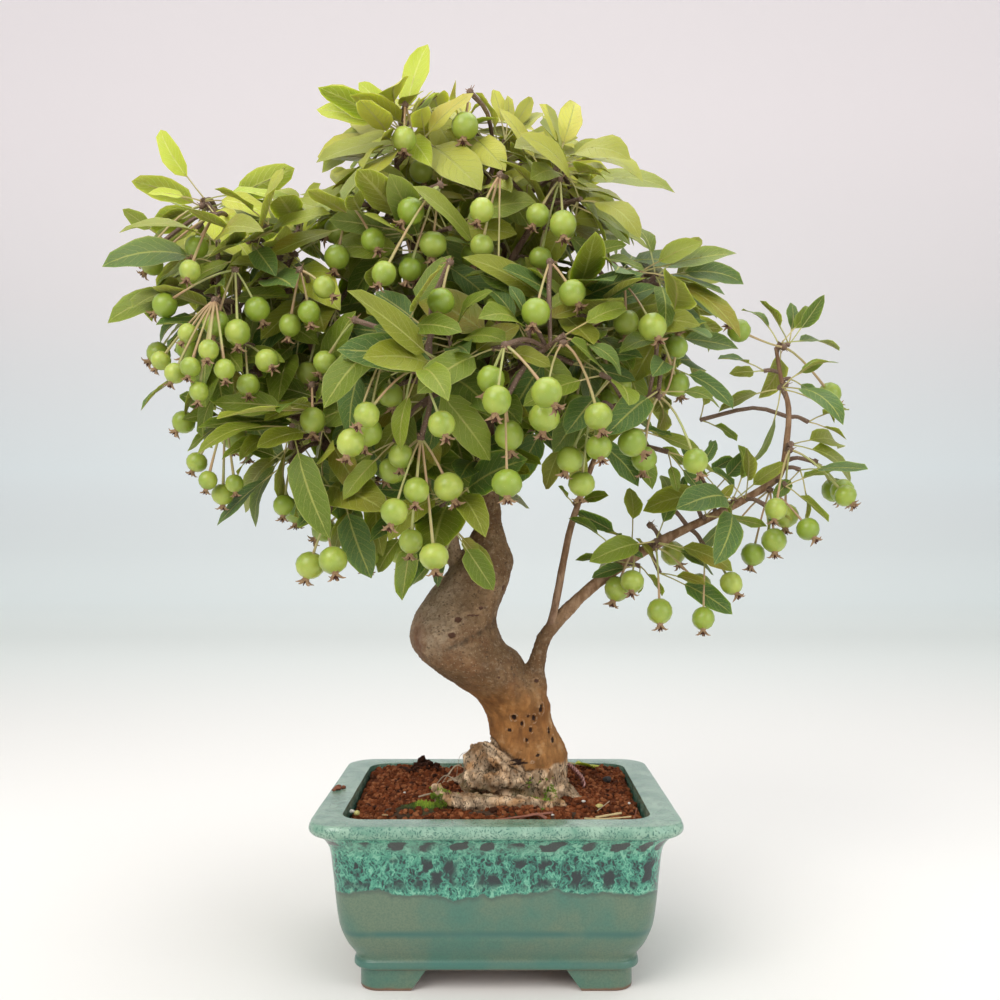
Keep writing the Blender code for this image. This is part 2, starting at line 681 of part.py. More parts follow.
def keep_largest(obj):
    """Drops the loose scraps that a cut leaves."""
    bm = bmesh.new()
    bm.from_mesh(obj.data)
    left = set(bm.verts)
    groups = []
    while left:
        group = {left.pop()}
        edge = list(group)
        while edge:
            vert = edge.pop()
            for link in vert.link_edges:
                other = link.other_vert(vert)
                if other in left:
                    left.remove(other)
                    group.add(other)
                    edge.append(other)
        groups.append(group)
    groups.sort(key=len)
    scraps = [vert for group in groups[:-1] for vert in group]
    bmesh.ops.delete(bm, geom=scraps, context="VERTS")
    bm.to_mesh(obj.data)
    bm.free()


def finish(obj, name, colour, smooth_under=40):
    """Names a piece, sets its material and turns its millimetres into metres."""
    obj.name = name
    obj.data.name = name
    obj.data.transform(Matrix.Scale(MM, 4))
    obj.data.materials.clear()
    obj.data.materials.append(material(colour))
    obj.data.shade_smooth()
    obj.data.set_sharp_from_angle(angle=math.radians(smooth_under))
    obj.parent = plant


def rounded_ring(half_x, half_y, radius, z, steps=3):
    """A level ring with round corners, turning right-handed about +Z."""
    ring = []
    for corner, (sign_x, sign_y) in enumerate(((1, 1), (-1, 1), (-1, -1), (1, -1))):
        for step in range(steps + 1):
            angle = math.radians(90 * corner + 90 * step / steps)
            x = sign_x * (half_x - radius) + radius * math.cos(angle)
            y = sign_y * (half_y - radius) + radius * math.sin(angle)
            ring.append(Vector((x, y, z)))
    return ring


def pot_ring(inset, z):
    return rounded_ring(POT_WIDTH / 2 - inset, POT_DEPTH / 2 - inset, RIM_CORNER - 0.3 * inset, z)


def box(low, high):
    corners = [(low[0], low[1]), (high[0], low[1]), (high[0], high[1]), (low[0], high[1])]
    return loft([[Vector((x, y, z)) for x, y in corners] for z in (low[2], high[2])])


def arch_cutter(half_low, half_high, across):
    """A prism with slanted ends that opens the foot ring between two corner feet."""
    rings = []
    for z, half in ((-1, half_low), (POT_BASE, half_high), (POT_BASE + 6, half_high)):
        ring = [Vector((x, y, z)) for x, y in ((-half, -200), (half, -200), (half, 200), (-half, 200))]
        if across:
            ring = [Vector((-point.y, point.x, z)) for point in ring]
        rings.append(ring)
    return loft(rings)


def panel_cutter(half_width, wall_at, turn):
    """A slab that follows the wall and stands a little way into it, for the shallow panel of one side."""
    inner = [(z, inset, 0) for inset, z in POT_PROFILE[PANEL_ROWS]]
    rows = [(PANEL_LOW, 17.6, PANEL_NOTCH), *inner, (PANEL_HIGH, 11.1, PANEL_NOTCH)]
    rings = []
    for z, inset, notch in rows:
        wall = wall_at - inset
        half = half_width - notch
        front = -wall - 8
        back = PANEL_DEPTH - wall
        ring = [Vector((x, y, z)) for x, y in ((-half, front), (half, front), (half, back), (-half, back))]
        rings.append(ring)
    points, faces = loft(rings)
    turned = Matrix.Rotation(turn, 4, "Z")
    return [turned @ point for point in points], faces


def make_feet():
    """Four corner feet, left from a ring whose middle and side arches are cut away."""
    long_half = POT_WIDTH / 2 - FOOT_INSET
    short_half = POT_DEPTH / 2 - FOOT_INSET
    feet = new_object("feet", loft([rounded_ring(long_half, short_half, 12, z) for z in (0, POT_BASE + 3)]))
    inside = [rounded_ring(long_half - FOOT_WALL, short_half - FOOT_WALL, 4, z) for z in (-1, POT_BASE + 9)]
    cutters = [
        new_object("inside", loft(inside)),
        new_object("arch", arch_cutter(long_half - FOOT_BOTTOM, long_half - FOOT_TOP, False)),
        new_object("arch", arch_cutter(short_half - FOOT_BOTTOM, short_half - FOOT_TOP, True)),
    ]
    cut(feet, cutters)
    for cutter in cutters:
        drop(cutter)
    return feet


def make_pot():
    body = new_object("body", loft([pot_ring(inset, z) for inset, z in POT_PROFILE]))
    feet = make_feet()
    union = body.modifiers.new("feet", "BOOLEAN")
    union.operation = "UNION"
    union.object = feet
    bake_modifiers(body)
    cutters = []
    for x in (-DRAIN_X, DRAIN_X):
        ends = [Vector((x, 0, POT_BASE - 5)), Vector((x, 0, POT_FLOOR + 5))]
        cutters.append(new_object("hole", tube(ends, [DRAIN_RADIUS] * 2, 12)))
    short_panel = PANEL_HALF_WIDTH - (POT_WIDTH - POT_DEPTH) / 2
    for quarter in range(4):
        half, reach = ((PANEL_HALF_WIDTH, POT_DEPTH / 2), (short_panel, POT_WIDTH / 2))[quarter % 2]
        cutters.append(new_object("panel", panel_cutter(half, reach, quarter * math.pi / 2)))
    cut(body, cutters)
    for cutter in [feet, *cutters]:
        drop(cutter)
    finish(body, "pot", "glaze", 30)


def soil_height(x, y):
    """The soil's top: a low mound, heaped towards the back and roughened as coarse grains are."""
    share = min(1, math.hypot(x / 95, y / 82))
    mound = SOIL_EDGE + (SOIL_CROWN - SOIL_EDGE) * (1 - share**2) + SOIL_BACK_RISE * max(0, y / 80)
    grain = math.sin(0.71 * x + 1.3 * math.sin(0.43 * y)) * math.sin(0.83 * y + 1.7 * math.sin(0.37 * x))
    return mound + 1.1 * grain


def soil_shape(lift=0.0):
    """Soil that fills the pot, clear of its wall, with a relief top."""
    edge = pot_ring(19 + SEAT_GAP + 0.2, 90)
    rings = [pot_ring(30 + SEAT_GAP + 0.3, POT_FLOOR + SEAT_GAP), pot_ring(24 + SEAT_GAP + 0.3, 45), edge]
    for scale in (0.995, 0.87, 0.72, 0.56, 0.38, 0.18):
        ring = []
        for point in edge:
            x = point.x * scale
            y = point.y * scale
            ring.append(Vector((x, y, soil_height(x, y))))
        rings.append(ring)
    rings.append([Vector((0, 0, soil_height(0, 0)))])
    points, faces = loft(rings)
    return [point + UP * lift for point in points], faces


def screen_box(x, extra=0.0):
    half = SCREEN_SIZE / 2 + extra
    low = POT_FLOOR + SEAT_GAP - extra
    return box((x - half, -half, low), (x + half, half, low + SCREEN_THICK + 2 * extra))


def make_screen(name, x):
    """A square of plastic mesh over a drain hole."""
    screen = new_object(name, screen_box(x))
    half = SCREEN_HOLE / 2
    cutters = []
    for i in (-0.5, 0.5):
        for j in (-0.5, 0.5):
            middle_x = x + i * SCREEN_PITCH
            middle_y = j * SCREEN_PITCH
            low = (middle_x - half, middle_y - half, POT_FLOOR - 2)
            cutters.append(new_object("hole", box(low, (middle_x + half, middle_y + half, POT_FLOOR + 6))))
    cut(screen, cutters)
    for cutter in cutters:
        drop(cutter)
    finish(screen, name, "screen", 30)


def wire_shape(extra=0.0):
    """The twisted end of a tie wire, standing up out of the soil."""
    return tube([Vector(knot) for knot in WIRE_KNOTS], [radius + extra for radius in WIRE_RADII], 6)


def moss_shape(x, y, reach_x, reach_y, rise):
    """A low uneven cushion that reaches into the soil, which is then cut out of it."""
    rings = []
    sides = 9
    for share, height in ((1, -6), (1, 0.5 * rise), (0.6, 0.9 * rise)):
        ring = []
        for k in range(sides):
            angle = math.tau * k / sides
            edge = share * (1 + 0.12 * math.sin(3 * angle + x) + 0.08 * math.sin(5 * angle))
            flat_x = x + reach_x * edge * math.cos(angle)
            flat_y = y + reach_y * edge * math.sin(angle)
            ring.append(Vector((flat_x, flat_y, soil_height(flat_x, flat_y) + height)))
        rings.append(ring)
    rings.append([Vector((x, y, soil_height(x, y) + rise))])
    return loft(rings)


def make_ground(wood_clearance):
    """Soil round the roots, the wire and the screens, with moss cushions on it."""
    soil = new_object("soil", soil_shape())
    cutters = [
        new_object("screen", screen_box(-DRAIN_X, SEAT_GAP)),
        new_object("screen", screen_box(DRAIN_X, SEAT_GAP)),
        new_object("wire", wire_shape(SEAT_GAP)),
    ]
    cut(soil, [wood_clearance, *cutters], "MANIFOLD")
    keep_largest(soil)
    for cutter in cutters:
        drop(cutter)
    finish(soil, "soil", "soil", 20)
    raised = new_object("raised", soil_shape(SEAT_GAP))
    for name, sizes in MOSSES.items():
        moss = new_object(name, moss_shape(*sizes))
        cut(moss, [raised, wood_clearance], "MANIFOLD")
        keep_largest(moss)
        finish(moss, name, "moss")
    drop(raised)


def lowest_gap(points, tree, way):
    """How far the points can move this way before the first of them meets the tree's faces."""
    hits = [tree.ray_cast(point, way) for point in points]
    return min(distance for place, normal, face, distance in hits if place)


def make_fallen_leaf():
    """A dropped leaf that lies on the soil, behind the trunk's right side."""
    ahead = Vector((0.95, 0.25, -0.14)).normalized()
    leaf = new_leaf(random.Random(5), Vector((42, 56, 125)), ahead, UP, 40, 0.5)
    leaf["arch"] = math.radians(20)
    leaf["twist"] = 0
    points, faces = leaf_shape(leaf, LEAF_THICK, 0.5)
    ground = soil_shape()
    onto_soil = lowest_gap(points, BVHTree.FromPolygons(*ground), -UP)
    onto_leaf = lowest_gap(ground[0], BVHTree.FromPolygons(points, faces), UP)
    drop_by = min(onto_soil, onto_leaf) - SEAT_GAP
    fallen = new_object("fallen_leaf", ([point - UP * drop_by for point in points], faces))
    finish(fallen, "fallen_leaf", "fallen_leaf")


def twig_shapes(index, gap=0):
    """A twig and the shoots that grow on from it, thicker by a gap where they cut a seat."""
    routes = [twig_route(index)]
    routes += [shoot_route(number) for number, row in enumerate(SHOOTS) if row[0] == index]
    return [tube(points, [radius + gap for radius in radii], TWIG_SIDES) for points, radii in routes]


def make_crown(wood_clearance):
    sprays, bunches = grow_crown()
    for index, leaves in enumerate(sprays):
        shapes = twig_shapes(index)
        shapes += [leaf_shape(leaf, LEAF_THICK) for leaf in leaves]
        spray = fuse("spray", shapes, "MANIFOLD")
        thin_out(spray)
        cut(spray, [wood_clearance], "MANIFOLD")
        keep_largest(spray)
        colour = "young_leaf" if TWIGS[index][5] > 0.6 else "leaf"
        finish(spray, f"spray_{index + 1:02d}", colour)
    for number, fruits in enumerate(bunches):
        index = BUNCHES[number][0]
        shapes = [ball(hub_point(index), HUB_RADIUS, 5, 3)]
        shapes += [fruit_shape(fruit) for fruit in fruits]
        bunch = fuse("bunch", shapes, "MANIFOLD")
        thin_out(bunch)
        seats = [new_object("seat", shape) for shape in twig_shapes(index, SEAT_GAP)]
        cut(bunch, seats, "MANIFOLD")
        for seat in seats:
            drop(seat)
        keep_largest(bunch)
        finish(bunch, f"fruits_{number + 1:02d}", "fruit")
    print("leaves", sum(len(leaves) for leaves in sprays), "fruits", sum(len(fruits) for fruits in bunches))


def main():
    wood = fuse("wood", wood_shapes())
    wood_clearance = fuse("clearance", wood_shapes(SEAT_GAP))
    make_pot()
    make_screen("drain_screen_left", -DRAIN_X)
    make_screen("drain_screen_right", DRAIN_X)
    make_ground(wood_clearance)
    wire = new_object("wire", wire_shape())
    finish(wire, "tie_wire", "wire")
    make_fallen_leaf()
    make_crown(wood_clearance)
    finish(wood, "trunk_and_limbs", "bark")
    drop(wood_clearance)


for leftover in list(bpy.data.objects):
    bpy.data.objects.remove(leftover)
plant = bpy.data.objects.new("bonsai", None)
bpy.context.scene.collection.objects.link(plant)
main()
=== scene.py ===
import math
import random

import bmesh
import bpy
from mathutils import Matrix, Vector, noise
from mathutils.bvhtree import BVHTree


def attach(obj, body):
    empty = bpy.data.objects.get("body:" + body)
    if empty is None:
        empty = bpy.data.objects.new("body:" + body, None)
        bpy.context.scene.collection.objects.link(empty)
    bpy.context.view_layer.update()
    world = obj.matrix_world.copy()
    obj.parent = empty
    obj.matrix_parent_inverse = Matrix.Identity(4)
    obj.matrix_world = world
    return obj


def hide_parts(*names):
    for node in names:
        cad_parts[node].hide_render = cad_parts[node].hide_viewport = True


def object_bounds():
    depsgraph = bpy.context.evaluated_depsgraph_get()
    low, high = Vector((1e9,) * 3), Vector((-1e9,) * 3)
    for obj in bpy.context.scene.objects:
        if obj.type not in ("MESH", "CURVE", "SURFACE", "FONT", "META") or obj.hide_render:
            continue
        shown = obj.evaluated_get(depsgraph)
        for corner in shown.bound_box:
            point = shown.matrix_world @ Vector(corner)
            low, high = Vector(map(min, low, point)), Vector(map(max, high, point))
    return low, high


# Crabapple bonsai in a glazed pot, worked out in millimetres. A piece turns into metres when it is made.

mm = 0.001
up = Vector((0, 0, 1))

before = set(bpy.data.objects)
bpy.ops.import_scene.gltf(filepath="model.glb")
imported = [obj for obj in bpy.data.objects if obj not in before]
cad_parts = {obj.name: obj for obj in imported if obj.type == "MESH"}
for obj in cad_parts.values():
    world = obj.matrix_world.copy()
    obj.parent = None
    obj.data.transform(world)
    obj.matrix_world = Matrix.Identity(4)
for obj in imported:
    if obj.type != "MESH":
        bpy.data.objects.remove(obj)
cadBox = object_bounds()


# General helpers

def smoothRoute(knots, steps):
    # Points and radii on a smooth curve through knots of x, y, z and thickness
    rows = [Vector(knot) for knot in knots]
    rows = [2 * rows[0] - rows[1], *rows, 2 * rows[-1] - rows[-2]]
    found = []
    for a, b, c, d in zip(rows, rows[1:], rows[2:], rows[3:]):
        for step in range(steps):
            t = step / steps
            bend = (2 * a - 5 * b + 4 * c - d) * t * t + (3 * b - a - 3 * c + d) * t**3
            found.append(0.5 * (2 * b + (c - a) * t + bend))
    found.append(rows[-2])
    return [row.xyz for row in found], [row[3] / 2 for row in found]


def along(points, radii, share):
    # The point, heading and radius at a share of a route's length
    lengths = [(b - a).length for a, b in zip(points, points[1:])]
    left = share * sum(lengths)
    for i, length in enumerate(lengths):
        if left <= length or i == len(lengths) - 1:
            t = left / length
            heading = (points[i + 1] - points[i]).normalized()
            return points[i].lerp(points[i + 1], t), heading, radii[i] + (radii[i + 1] - radii[i]) * t
        left -= length


def aheadAt(points, i):
    # The way a course runs at one of its points
    return points[min(i + 1, len(points) - 1)] - points[max(i - 1, 0)]


def squareTo(ahead, side):
    # What is left of a direction when it is turned square to another
    return (side - ahead * side.dot(ahead)).normalized()


def toMesh(bm, name):
    mesh = bpy.data.meshes.new(name)
    bm.to_mesh(mesh)
    bm.free()
    return mesh


def fromMesh(mesh):
    # A fresh bmesh, in which whatever is added later comes last
    bm = bmesh.new()
    bm.from_mesh(mesh)
    return bm


tubeTemplates = {}


def tubeTemplate(sides, count):
    # A closed cone of even width, cut across so that it has a ring for each of count points
    if (sides, count) not in tubeTemplates:
        bm = bmesh.new()
        bmesh.ops.create_cone(bm, cap_ends=True, segments=sides, radius1=1, radius2=1, depth=2)
        if count > 2:
            long = [edge for edge in bm.edges if abs(edge.verts[0].co.z - edge.verts[1].co.z) > 1]
            bmesh.ops.subdivide_edges(bm, edges=long, cuts=count - 2)
        tubeTemplates[sides, count] = toMesh(bm, "tube")
    return tubeTemplates[sides, count]


def addTube(bm, points, radii, sides, materialIndex=0, rough=0.0):
    # A closed tube laid along the course without twist
    firstVert, firstFace = len(bm.verts), len(bm.faces)
    bm.from_mesh(tubeTemplate(sides, len(points)))
    bm.verts.ensure_lookup_table()
    bm.faces.ensure_lookup_table()
    side = (points[1] - points[0]).orthogonal().normalized()
    frames = []
    for i, point in enumerate(points):
        ahead = aheadAt(points, i).normalized()
        side = squareTo(ahead, side)
        frames.append((point, side, ahead.cross(side)))
    verts = bm.verts[firstVert:]
    for vert in verts:
        i = round((vert.co.z + 1) / 2 * (len(points) - 1))
        point, side, across = frames[i]
        reach, out = radii[i], vert.co.x * side + vert.co.y * across
        if rough:
            reach *= 1 + rough * noise.noise((point + reach * out) * 0.22)
        vert.co = point + reach * out
    for face in bm.faces[firstFace:]:
        face.material_index = materialIndex
    return verts


def toScene(name, data):
    placed = bpy.data.objects.new(name, data)
    bpy.context.scene.collection.objects.link(placed)
    return placed


def makePiece(name, bm, materials, nodes=(), sharpOver=50):
    # Turns millimetres into metres and puts the mesh in an object at the origin that rides on the body
    bmesh.ops.scale(bm, vec=(mm, mm, mm), verts=bm.verts)
    mesh = toMesh(bm, name)
    for material in materials:
        mesh.materials.append(material)
    mesh.shade_smooth()
    mesh.set_sharp_from_angle(angle=math.radians(sharpOver))
    piece = toScene(name, mesh)
    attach(piece, "root")
    if nodes:
        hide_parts(*nodes)
    return piece


def vertsOf(parts):
    return [part for part in parts if isinstance(part, bmesh.types.BMVert)]


def applyModifiers(piece):
    graph = bpy.context.evaluated_depsgraph_get()
    mesh = bpy.data.meshes.new_from_object(piece.evaluated_get(graph))
    piece.modifiers.clear()
    piece.data = mesh


def strayFrom(draw):
    # A random step of up to 1 along each axis
    return Vector((draw.uniform(-1, 1), draw.uniform(-1, 1), draw.uniform(-1, 1)))


def compass(angle):
    return Vector((math.cos(angle), math.sin(angle), 0))


def softStep(low, high, value):
    t = max(0.0, min(1.0, (value - low) / (high - low)))
    return t * t * (3 - 2 * t)


# Materials

class Surface:
    # One material, and short ways to add nodes to it

    def __init__(self, name, roughness, **sockets):
        self.material = bpy.data.materials.new(name)
        self.material.use_nodes = True
        self.tree = self.material.node_tree
        self.shader = self.tree.nodes["Principled BSDF"]
        self.shader.inputs["Roughness"].default_value = roughness
        for socket, value in sockets.items():
            self.shader.inputs[socket.replace("_", " ")].default_value = value
        self.place = self.add("TexCoord").outputs["Object"]

    def add(self, kind, inputs=None, **settings):
        made = self.tree.nodes.new("ShaderNode" + kind)
        for name, value in settings.items():
            setattr(made, name, value)
        for name, value in (inputs or {}).items():
            self.fill(made.inputs[name], value)
        return made

    def fill(self, socket, value):
        if isinstance(value, bpy.types.NodeSocket):
            self.tree.links.new(value, socket)
        else:
            socket.default_value = value

    def stretched(self, scale, place=None):
        mapped = self.add("Mapping", {"Vector": place or self.place, "Scale": scale})
        return mapped.outputs["Vector"]

    def noise(self, scale, detail=3, rough=0.55, place=None):
        inputs = {"Vector": place or self.place, "Scale": scale, "Detail": detail, "Roughness": rough}
        return self.add("TexNoise", inputs).outputs["Fac"]

    def cells(self, scale, feature="F1", place=None):
        made = self.add("TexVoronoi", {"Vector": place or self.place, "Scale": scale}, feature=feature)
        return made.outputs["Distance"]

    def math(self, operation, a, b=0.0, c=0.0):
        return self.add("Math", {0: a, 1: b, 2: c}, operation=operation).outputs[0]

    def times(self, a, b):
        return self.math("MULTIPLY", a, b)

    def plus(self, a, b):
        return self.math("ADD", a, b)

    def less(self, a, b):
        return self.math("SUBTRACT", a, b)

    def between(self, value, low, high, toLow=0.0, toHigh=1.0):
        inputs = {"Value": value, "From Min": low, "From Max": high, "To Min": toLow, "To Max": toHigh}
        return self.add("MapRange", inputs, interpolation_type="SMOOTHSTEP").outputs["Result"]

    def clouds(self, low, high, *settings):
        # Patches of noise, clear under low and full over high
        return self.between(self.noise(*settings), low, high)

    def ramp(self, value, *stops):
        made = self.add("ValToRGB", {"Fac": value})
        bands = made.color_ramp.elements
        while len(bands) < len(stops):
            bands.new(0.5)
        for band, (at, colour) in zip(bands, stops):
            band.position = at
            band.color = (*colour, 1)
        return made.outputs["Color"]

    def mix(self, share, a, b):
        made = self.add("Mix", {0: share}, data_type="RGBA")
        for socket, value in ((made.inputs[6], a), (made.inputs[7], b)):
            self.fill(socket, (*value, 1) if isinstance(value, tuple) else value)
        return made.outputs[2]

    def veil(self, mask, share, under, over):
        # One colour over another, as thick as a share of the mask
        return self.mix(self.times(mask, share), under, over)

    def attribute(self, name):
        return self.add("Attribute", attribute_name=name).outputs["Fac"]

    def axis(self, which, place=None):
        return self.add("SeparateXYZ", {"Vector": place or self.place}).outputs[which]

    def finish(self, colour, height, distance, strength):
        # Joins the colour and a fine relief to the shader
        self.fill(self.shader.inputs["Base Color"], colour)
        relief = self.add("Bump", {"Height": height, "Distance": distance, "Strength": strength})
        self.fill(self.shader.inputs["Normal"], relief.outputs["Normal"])
        return self.material


# Pot

pot = {
    "width": 220, "depth": 195, "base": 12.5, "corner": 20,
    "profile": (  # inset from the rim and height, up the outer wall to the rim and down the inner wall
        (28, 12.5), (24.7, 14.5), (24.7, 18), (25.5, 20.5), (20.5, 29), (17, 38), (15.3, 47), (14, 59),
        (12.8, 73), (11, 87), (6, 95), (1.5, 97.5), (0, 100.5), (1, 104), (3, 105),
        (16.5, 105), (18, 103), (19, 88), (24, 45), (30, 22),
    ),
    "panelHalf": 73, "panelLow": 36, "panelHigh": 86.5, "panelNotch": 6, "panelDepth": 1.0,
    "footInset": 28, "footWall": 13, "footBottom": 31, "footTop": 40, "footCorner": 12, "footSoft": 1.1,
    "drainX": 44, "drainRadius": 6, "drainSides": 32, "drillLength": 60,
    "across": 300, "cornerSteps": 8,  # points round the pot, and steps round a foot's corner
}


def roundedPoint(share, halfX, halfY, radius):
    # A point at a share of the way round a rounded oblong, from the middle of its right side
    straightX, straightY, arc = halfX - radius, halfY - radius, math.pi / 2 * radius
    left = share * 4 * (straightX + straightY + arc)
    for turn, ahead in enumerate((straightY, straightX * 2, straightY * 2, straightX * 2, straightY)):
        if left <= ahead:
            starts = ((halfX, 0), (straightX, halfY), (-halfX, straightY), (-straightX, -halfY))
            start = (*starts, (halfX, -straightY))[turn]
            heading = ((0, 1), (-1, 0), (0, -1), (1, 0), (0, 1))[turn]
            return Vector((*start, 0)) + left * Vector((*heading, 0))
        left -= ahead
        if left <= arc:
            angle = left / radius + turn * math.pi / 2
            middle = Vector(((1, -1, -1, 1)[turn % 4] * straightX, (1, 1, -1, -1)[turn % 4] * straightY, 0))
            return middle + radius * compass(angle)
        left -= arc
    return Vector((halfX, 0, 0))


def potOutline(share, inset):
    # A point on the pot's outline drawn in by the inset, at a share of the way round
    halfX, halfY = pot["width"] / 2 - inset, pot["depth"] / 2 - inset
    return roundedPoint(share, halfX, halfY, pot["corner"] - 0.3 * inset)


def panelSink(point, z, inset):
    # How far the wall is pressed in at a shallow panel with notched corners
    wallX, wallY = pot["width"] / 2 - inset, pot["depth"] / 2 - inset
    if abs(abs(point.y) - wallY) < 0.4:
        side, half = abs(point.x), pot["panelHalf"]
    elif abs(abs(point.x) - wallX) < 0.4:
        side, half = abs(point.y), pot["panelHalf"] - (pot["width"] - pot["depth"]) / 2
    else:
        return 0
    low, high, notch = pot["panelLow"], pot["panelHigh"], pot["panelNotch"]
    inside = min(half - side, z - low, high - z)
    corner = math.hypot(max(0, side - half + notch), max(0, low + notch - z, z - high + notch))
    return pot["panelDepth"] * softStep(-0.8, 0.9, min(inside, notch - corner if corner else inside))


def rollGrid(bm, around, rows, place):
    # A closed skin: a grid rolled into a tube by place(share of the way round, row), both ends filled
    verts = bmesh.ops.create_grid(bm, x_segments=around, y_segments=rows - 1, size=1)["verts"]
    for vert in verts:
        vert.co = place((vert.co.x + 1) / 2 % 1, round((vert.co.y + 1) / 2 * (rows - 1)))
    bmesh.ops.remove_doubles(bm, verts=verts, dist=0.0005)
    bmesh.ops.holes_fill(bm, edges=[edge for edge in bm.edges if edge.is_boundary], sides=0)
    bmesh.ops.recalc_face_normals(bm, faces=bm.faces)


def makePotBody():
    knots = [(inset, z, 0, 0) for inset, z in pot["profile"]]
    rows = [(point.x, point.y) for point in smoothRoute(knots, 5)[0]]
    topRow = max(range(len(rows)), key=lambda row: rows[row][1])

    def place(share, row):
        inset, z = rows[row]
        flat = potOutline(share, inset)
        sink = panelSink(flat, z, inset) if row < topRow else 0
        wave = 0.3 * noise.noise(Vector((flat.x, flat.y, z)) * 0.03) * softStep(20, 30, z)
        return flat - flat.normalized() * (sink + wave) + up * z

    bm = bmesh.new()
    rollGrid(bm, pot["across"], len(rows), place)
    return bm


def addFoot(bm, mirrorX, mirrorY):
    # An L-shaped corner foot with slanted ends, drawn as one face and pulled up into the base
    farX, farY = pot["width"] / 2 - pot["footInset"], pot["depth"] / 2 - pot["footInset"]
    wall, end, arc, steps = pot["footWall"], pot["footBottom"], pot["footCorner"], pot["cornerSteps"]
    outline = [(farX - end, farY)]
    for step in range(steps + 1):
        angle = math.radians(90 - 90 * step / steps)
        outline.append((farX - arc + arc * math.cos(angle), farY - arc + arc * math.sin(angle)))
    outline += [(farX, farY - end), (farX - wall, farY - end)]
    outline += [(farX - wall, farY - wall), (farX - end, farY - wall)]
    face = bm.faces.new([bm.verts.new((x, y, 0)) for x, y in outline])
    raised = bmesh.ops.extrude_face_region(bm, geom=[face])["geom"]
    slant = (pot["footTop"] - end) * (pot["base"] + 3) / pot["base"]
    verts = set(face.verts)
    for vert in vertsOf(raised):
        vert.co.z = pot["base"] + 3
        if abs(vert.co.x - farX + end) < 0.01:
            vert.co.x -= slant
        elif abs(vert.co.y - farY + end) < 0.01:
            vert.co.y -= slant
        verts.add(vert)
    soft = {"offset": pot["footSoft"], "segments": 3, "profile": 0.5, "affect": "EDGES", "material": -1}
    verts |= set(bmesh.ops.bevel(bm, geom=list(face.edges), **soft)["verts"])
    verts = [vert for vert in verts if vert.is_valid]
    bmesh.ops.scale(bm, vec=(mirrorX, mirrorY, 1), verts=verts)
    faces = list({face for vert in verts for face in vert.link_faces})
    bmesh.ops.recalc_face_normals(bm, faces=faces)


def drillPot(piece):
    # Two drain holes through the floor
    bm = bmesh.new()
    for x in (-pot["drainX"], pot["drainX"]):
        matrix = Matrix.Translation((x * mm, 0, pot["base"] * mm))
        radius, depth, sides = pot["drainRadius"] * mm, pot["drillLength"] * mm, pot["drainSides"]
        shape = {"segments": sides, "radius1": radius, "radius2": radius, "depth": depth}
        bmesh.ops.create_cone(bm, cap_ends=True, matrix=matrix, **shape)
    drill = toScene("drill", toMesh(bm, "drill"))
    hole = piece.modifiers.new("drain", "BOOLEAN")
    hole.operation = "DIFFERENCE"
    hole.object = drill
    hole.solver = "MANIFOLD"
    applyModifiers(piece)
    bpy.data.objects.remove(drill)


def bentPlace(look):
    # Coordinates that wander a little, for strands that run down and part
    wobble = look.add("TexNoise", {"Vector": look.place, "Scale": 190, "Detail": 3}).outputs["Color"]
    wobble = look.add("VectorMath", {0: wobble, 1: (0.5, 0.5, 0.5)}, operation="SUBTRACT").outputs[0]
    wobble = look.add("VectorMath", {0: wobble, "Scale": 0.009}, operation="SCALE").outputs[0]
    return look.add("VectorMath", {0: look.place, 1: wobble}, operation="ADD").outputs[0]


def dripBand(look, z, bent, strand, low, grain):
    # Webbed strands from pale to dark, with dark runs above the panel's edge and grey ovals under the rim
    net = look.ramp(
        strand, (0.20, (0.19, 0.45, 0.31)), (0.36, (0.075, 0.315, 0.21)), (0.52, (0.032, 0.18, 0.125)),
        (0.68, (0.012, 0.075, 0.06)), (0.84, (0.006, 0.018, 0.018)),
    )
    milky = look.times(look.between(z, 0.084, 0.090), look.clouds(0.35, 0.65, 60, 3))
    net = look.veil(milky, 0.45, net, (0.19, 0.36, 0.26))
    around = look.plus(look.axis("X", bent), look.axis("Y", bent))
    runs = look.add("CombineXYZ", {"X": look.times(around, 92), "Y": look.times(z, 50)}).outputs[0]
    run = look.add("TexVoronoi", {"Vector": runs, "Scale": 1.0, "Randomness": 0.9}, voronoi_dimensions="2D")
    run = look.between(run.outputs["Distance"], 0.38, 0.27)
    net = look.veil(look.times(run, look.clouds(0.38, 0.48, 36, 2)), low, net, (0.012, 0.022, 0.024))
    place = look.math("MULTIPLY_ADD", look.noise(17, 1), 1.3, look.times(around, 56))
    across = look.times(look.less(look.math("FRACT", place), 0.5), 3.7)
    rise = look.times(look.less(look.math("MULTIPLY_ADD", look.noise(30, 1), 0.004, z), 0.0936), 300)
    oval = look.between(look.plus(look.times(across, across), look.times(rise, rise)), 1.25, 0.8)
    oval = look.times(oval, look.clouds(0.34, 0.42, 44, 1))
    return look.mix(oval, net, look.mix(grain, (0.020, 0.028, 0.026), (0.060, 0.068, 0.062)))


def glazedLip(look, z, bent):
    # The rim's top and lip, with fine dark dots that close up downwards
    lip = look.mix(look.clouds(0.3, 0.7, 70, 4, 0.65), (0.12, 0.27, 0.19), (0.30, 0.45, 0.335))
    dots = look.cells(760, "F1", look.stretched((1, 1, 0.8), bent))
    dots = look.between(dots, look.between(z, 0.0985, 0.1045, 0.70, 0.47), 0.10)
    return look.veil(dots, 0.9, lip, (0.015, 0.10, 0.075))


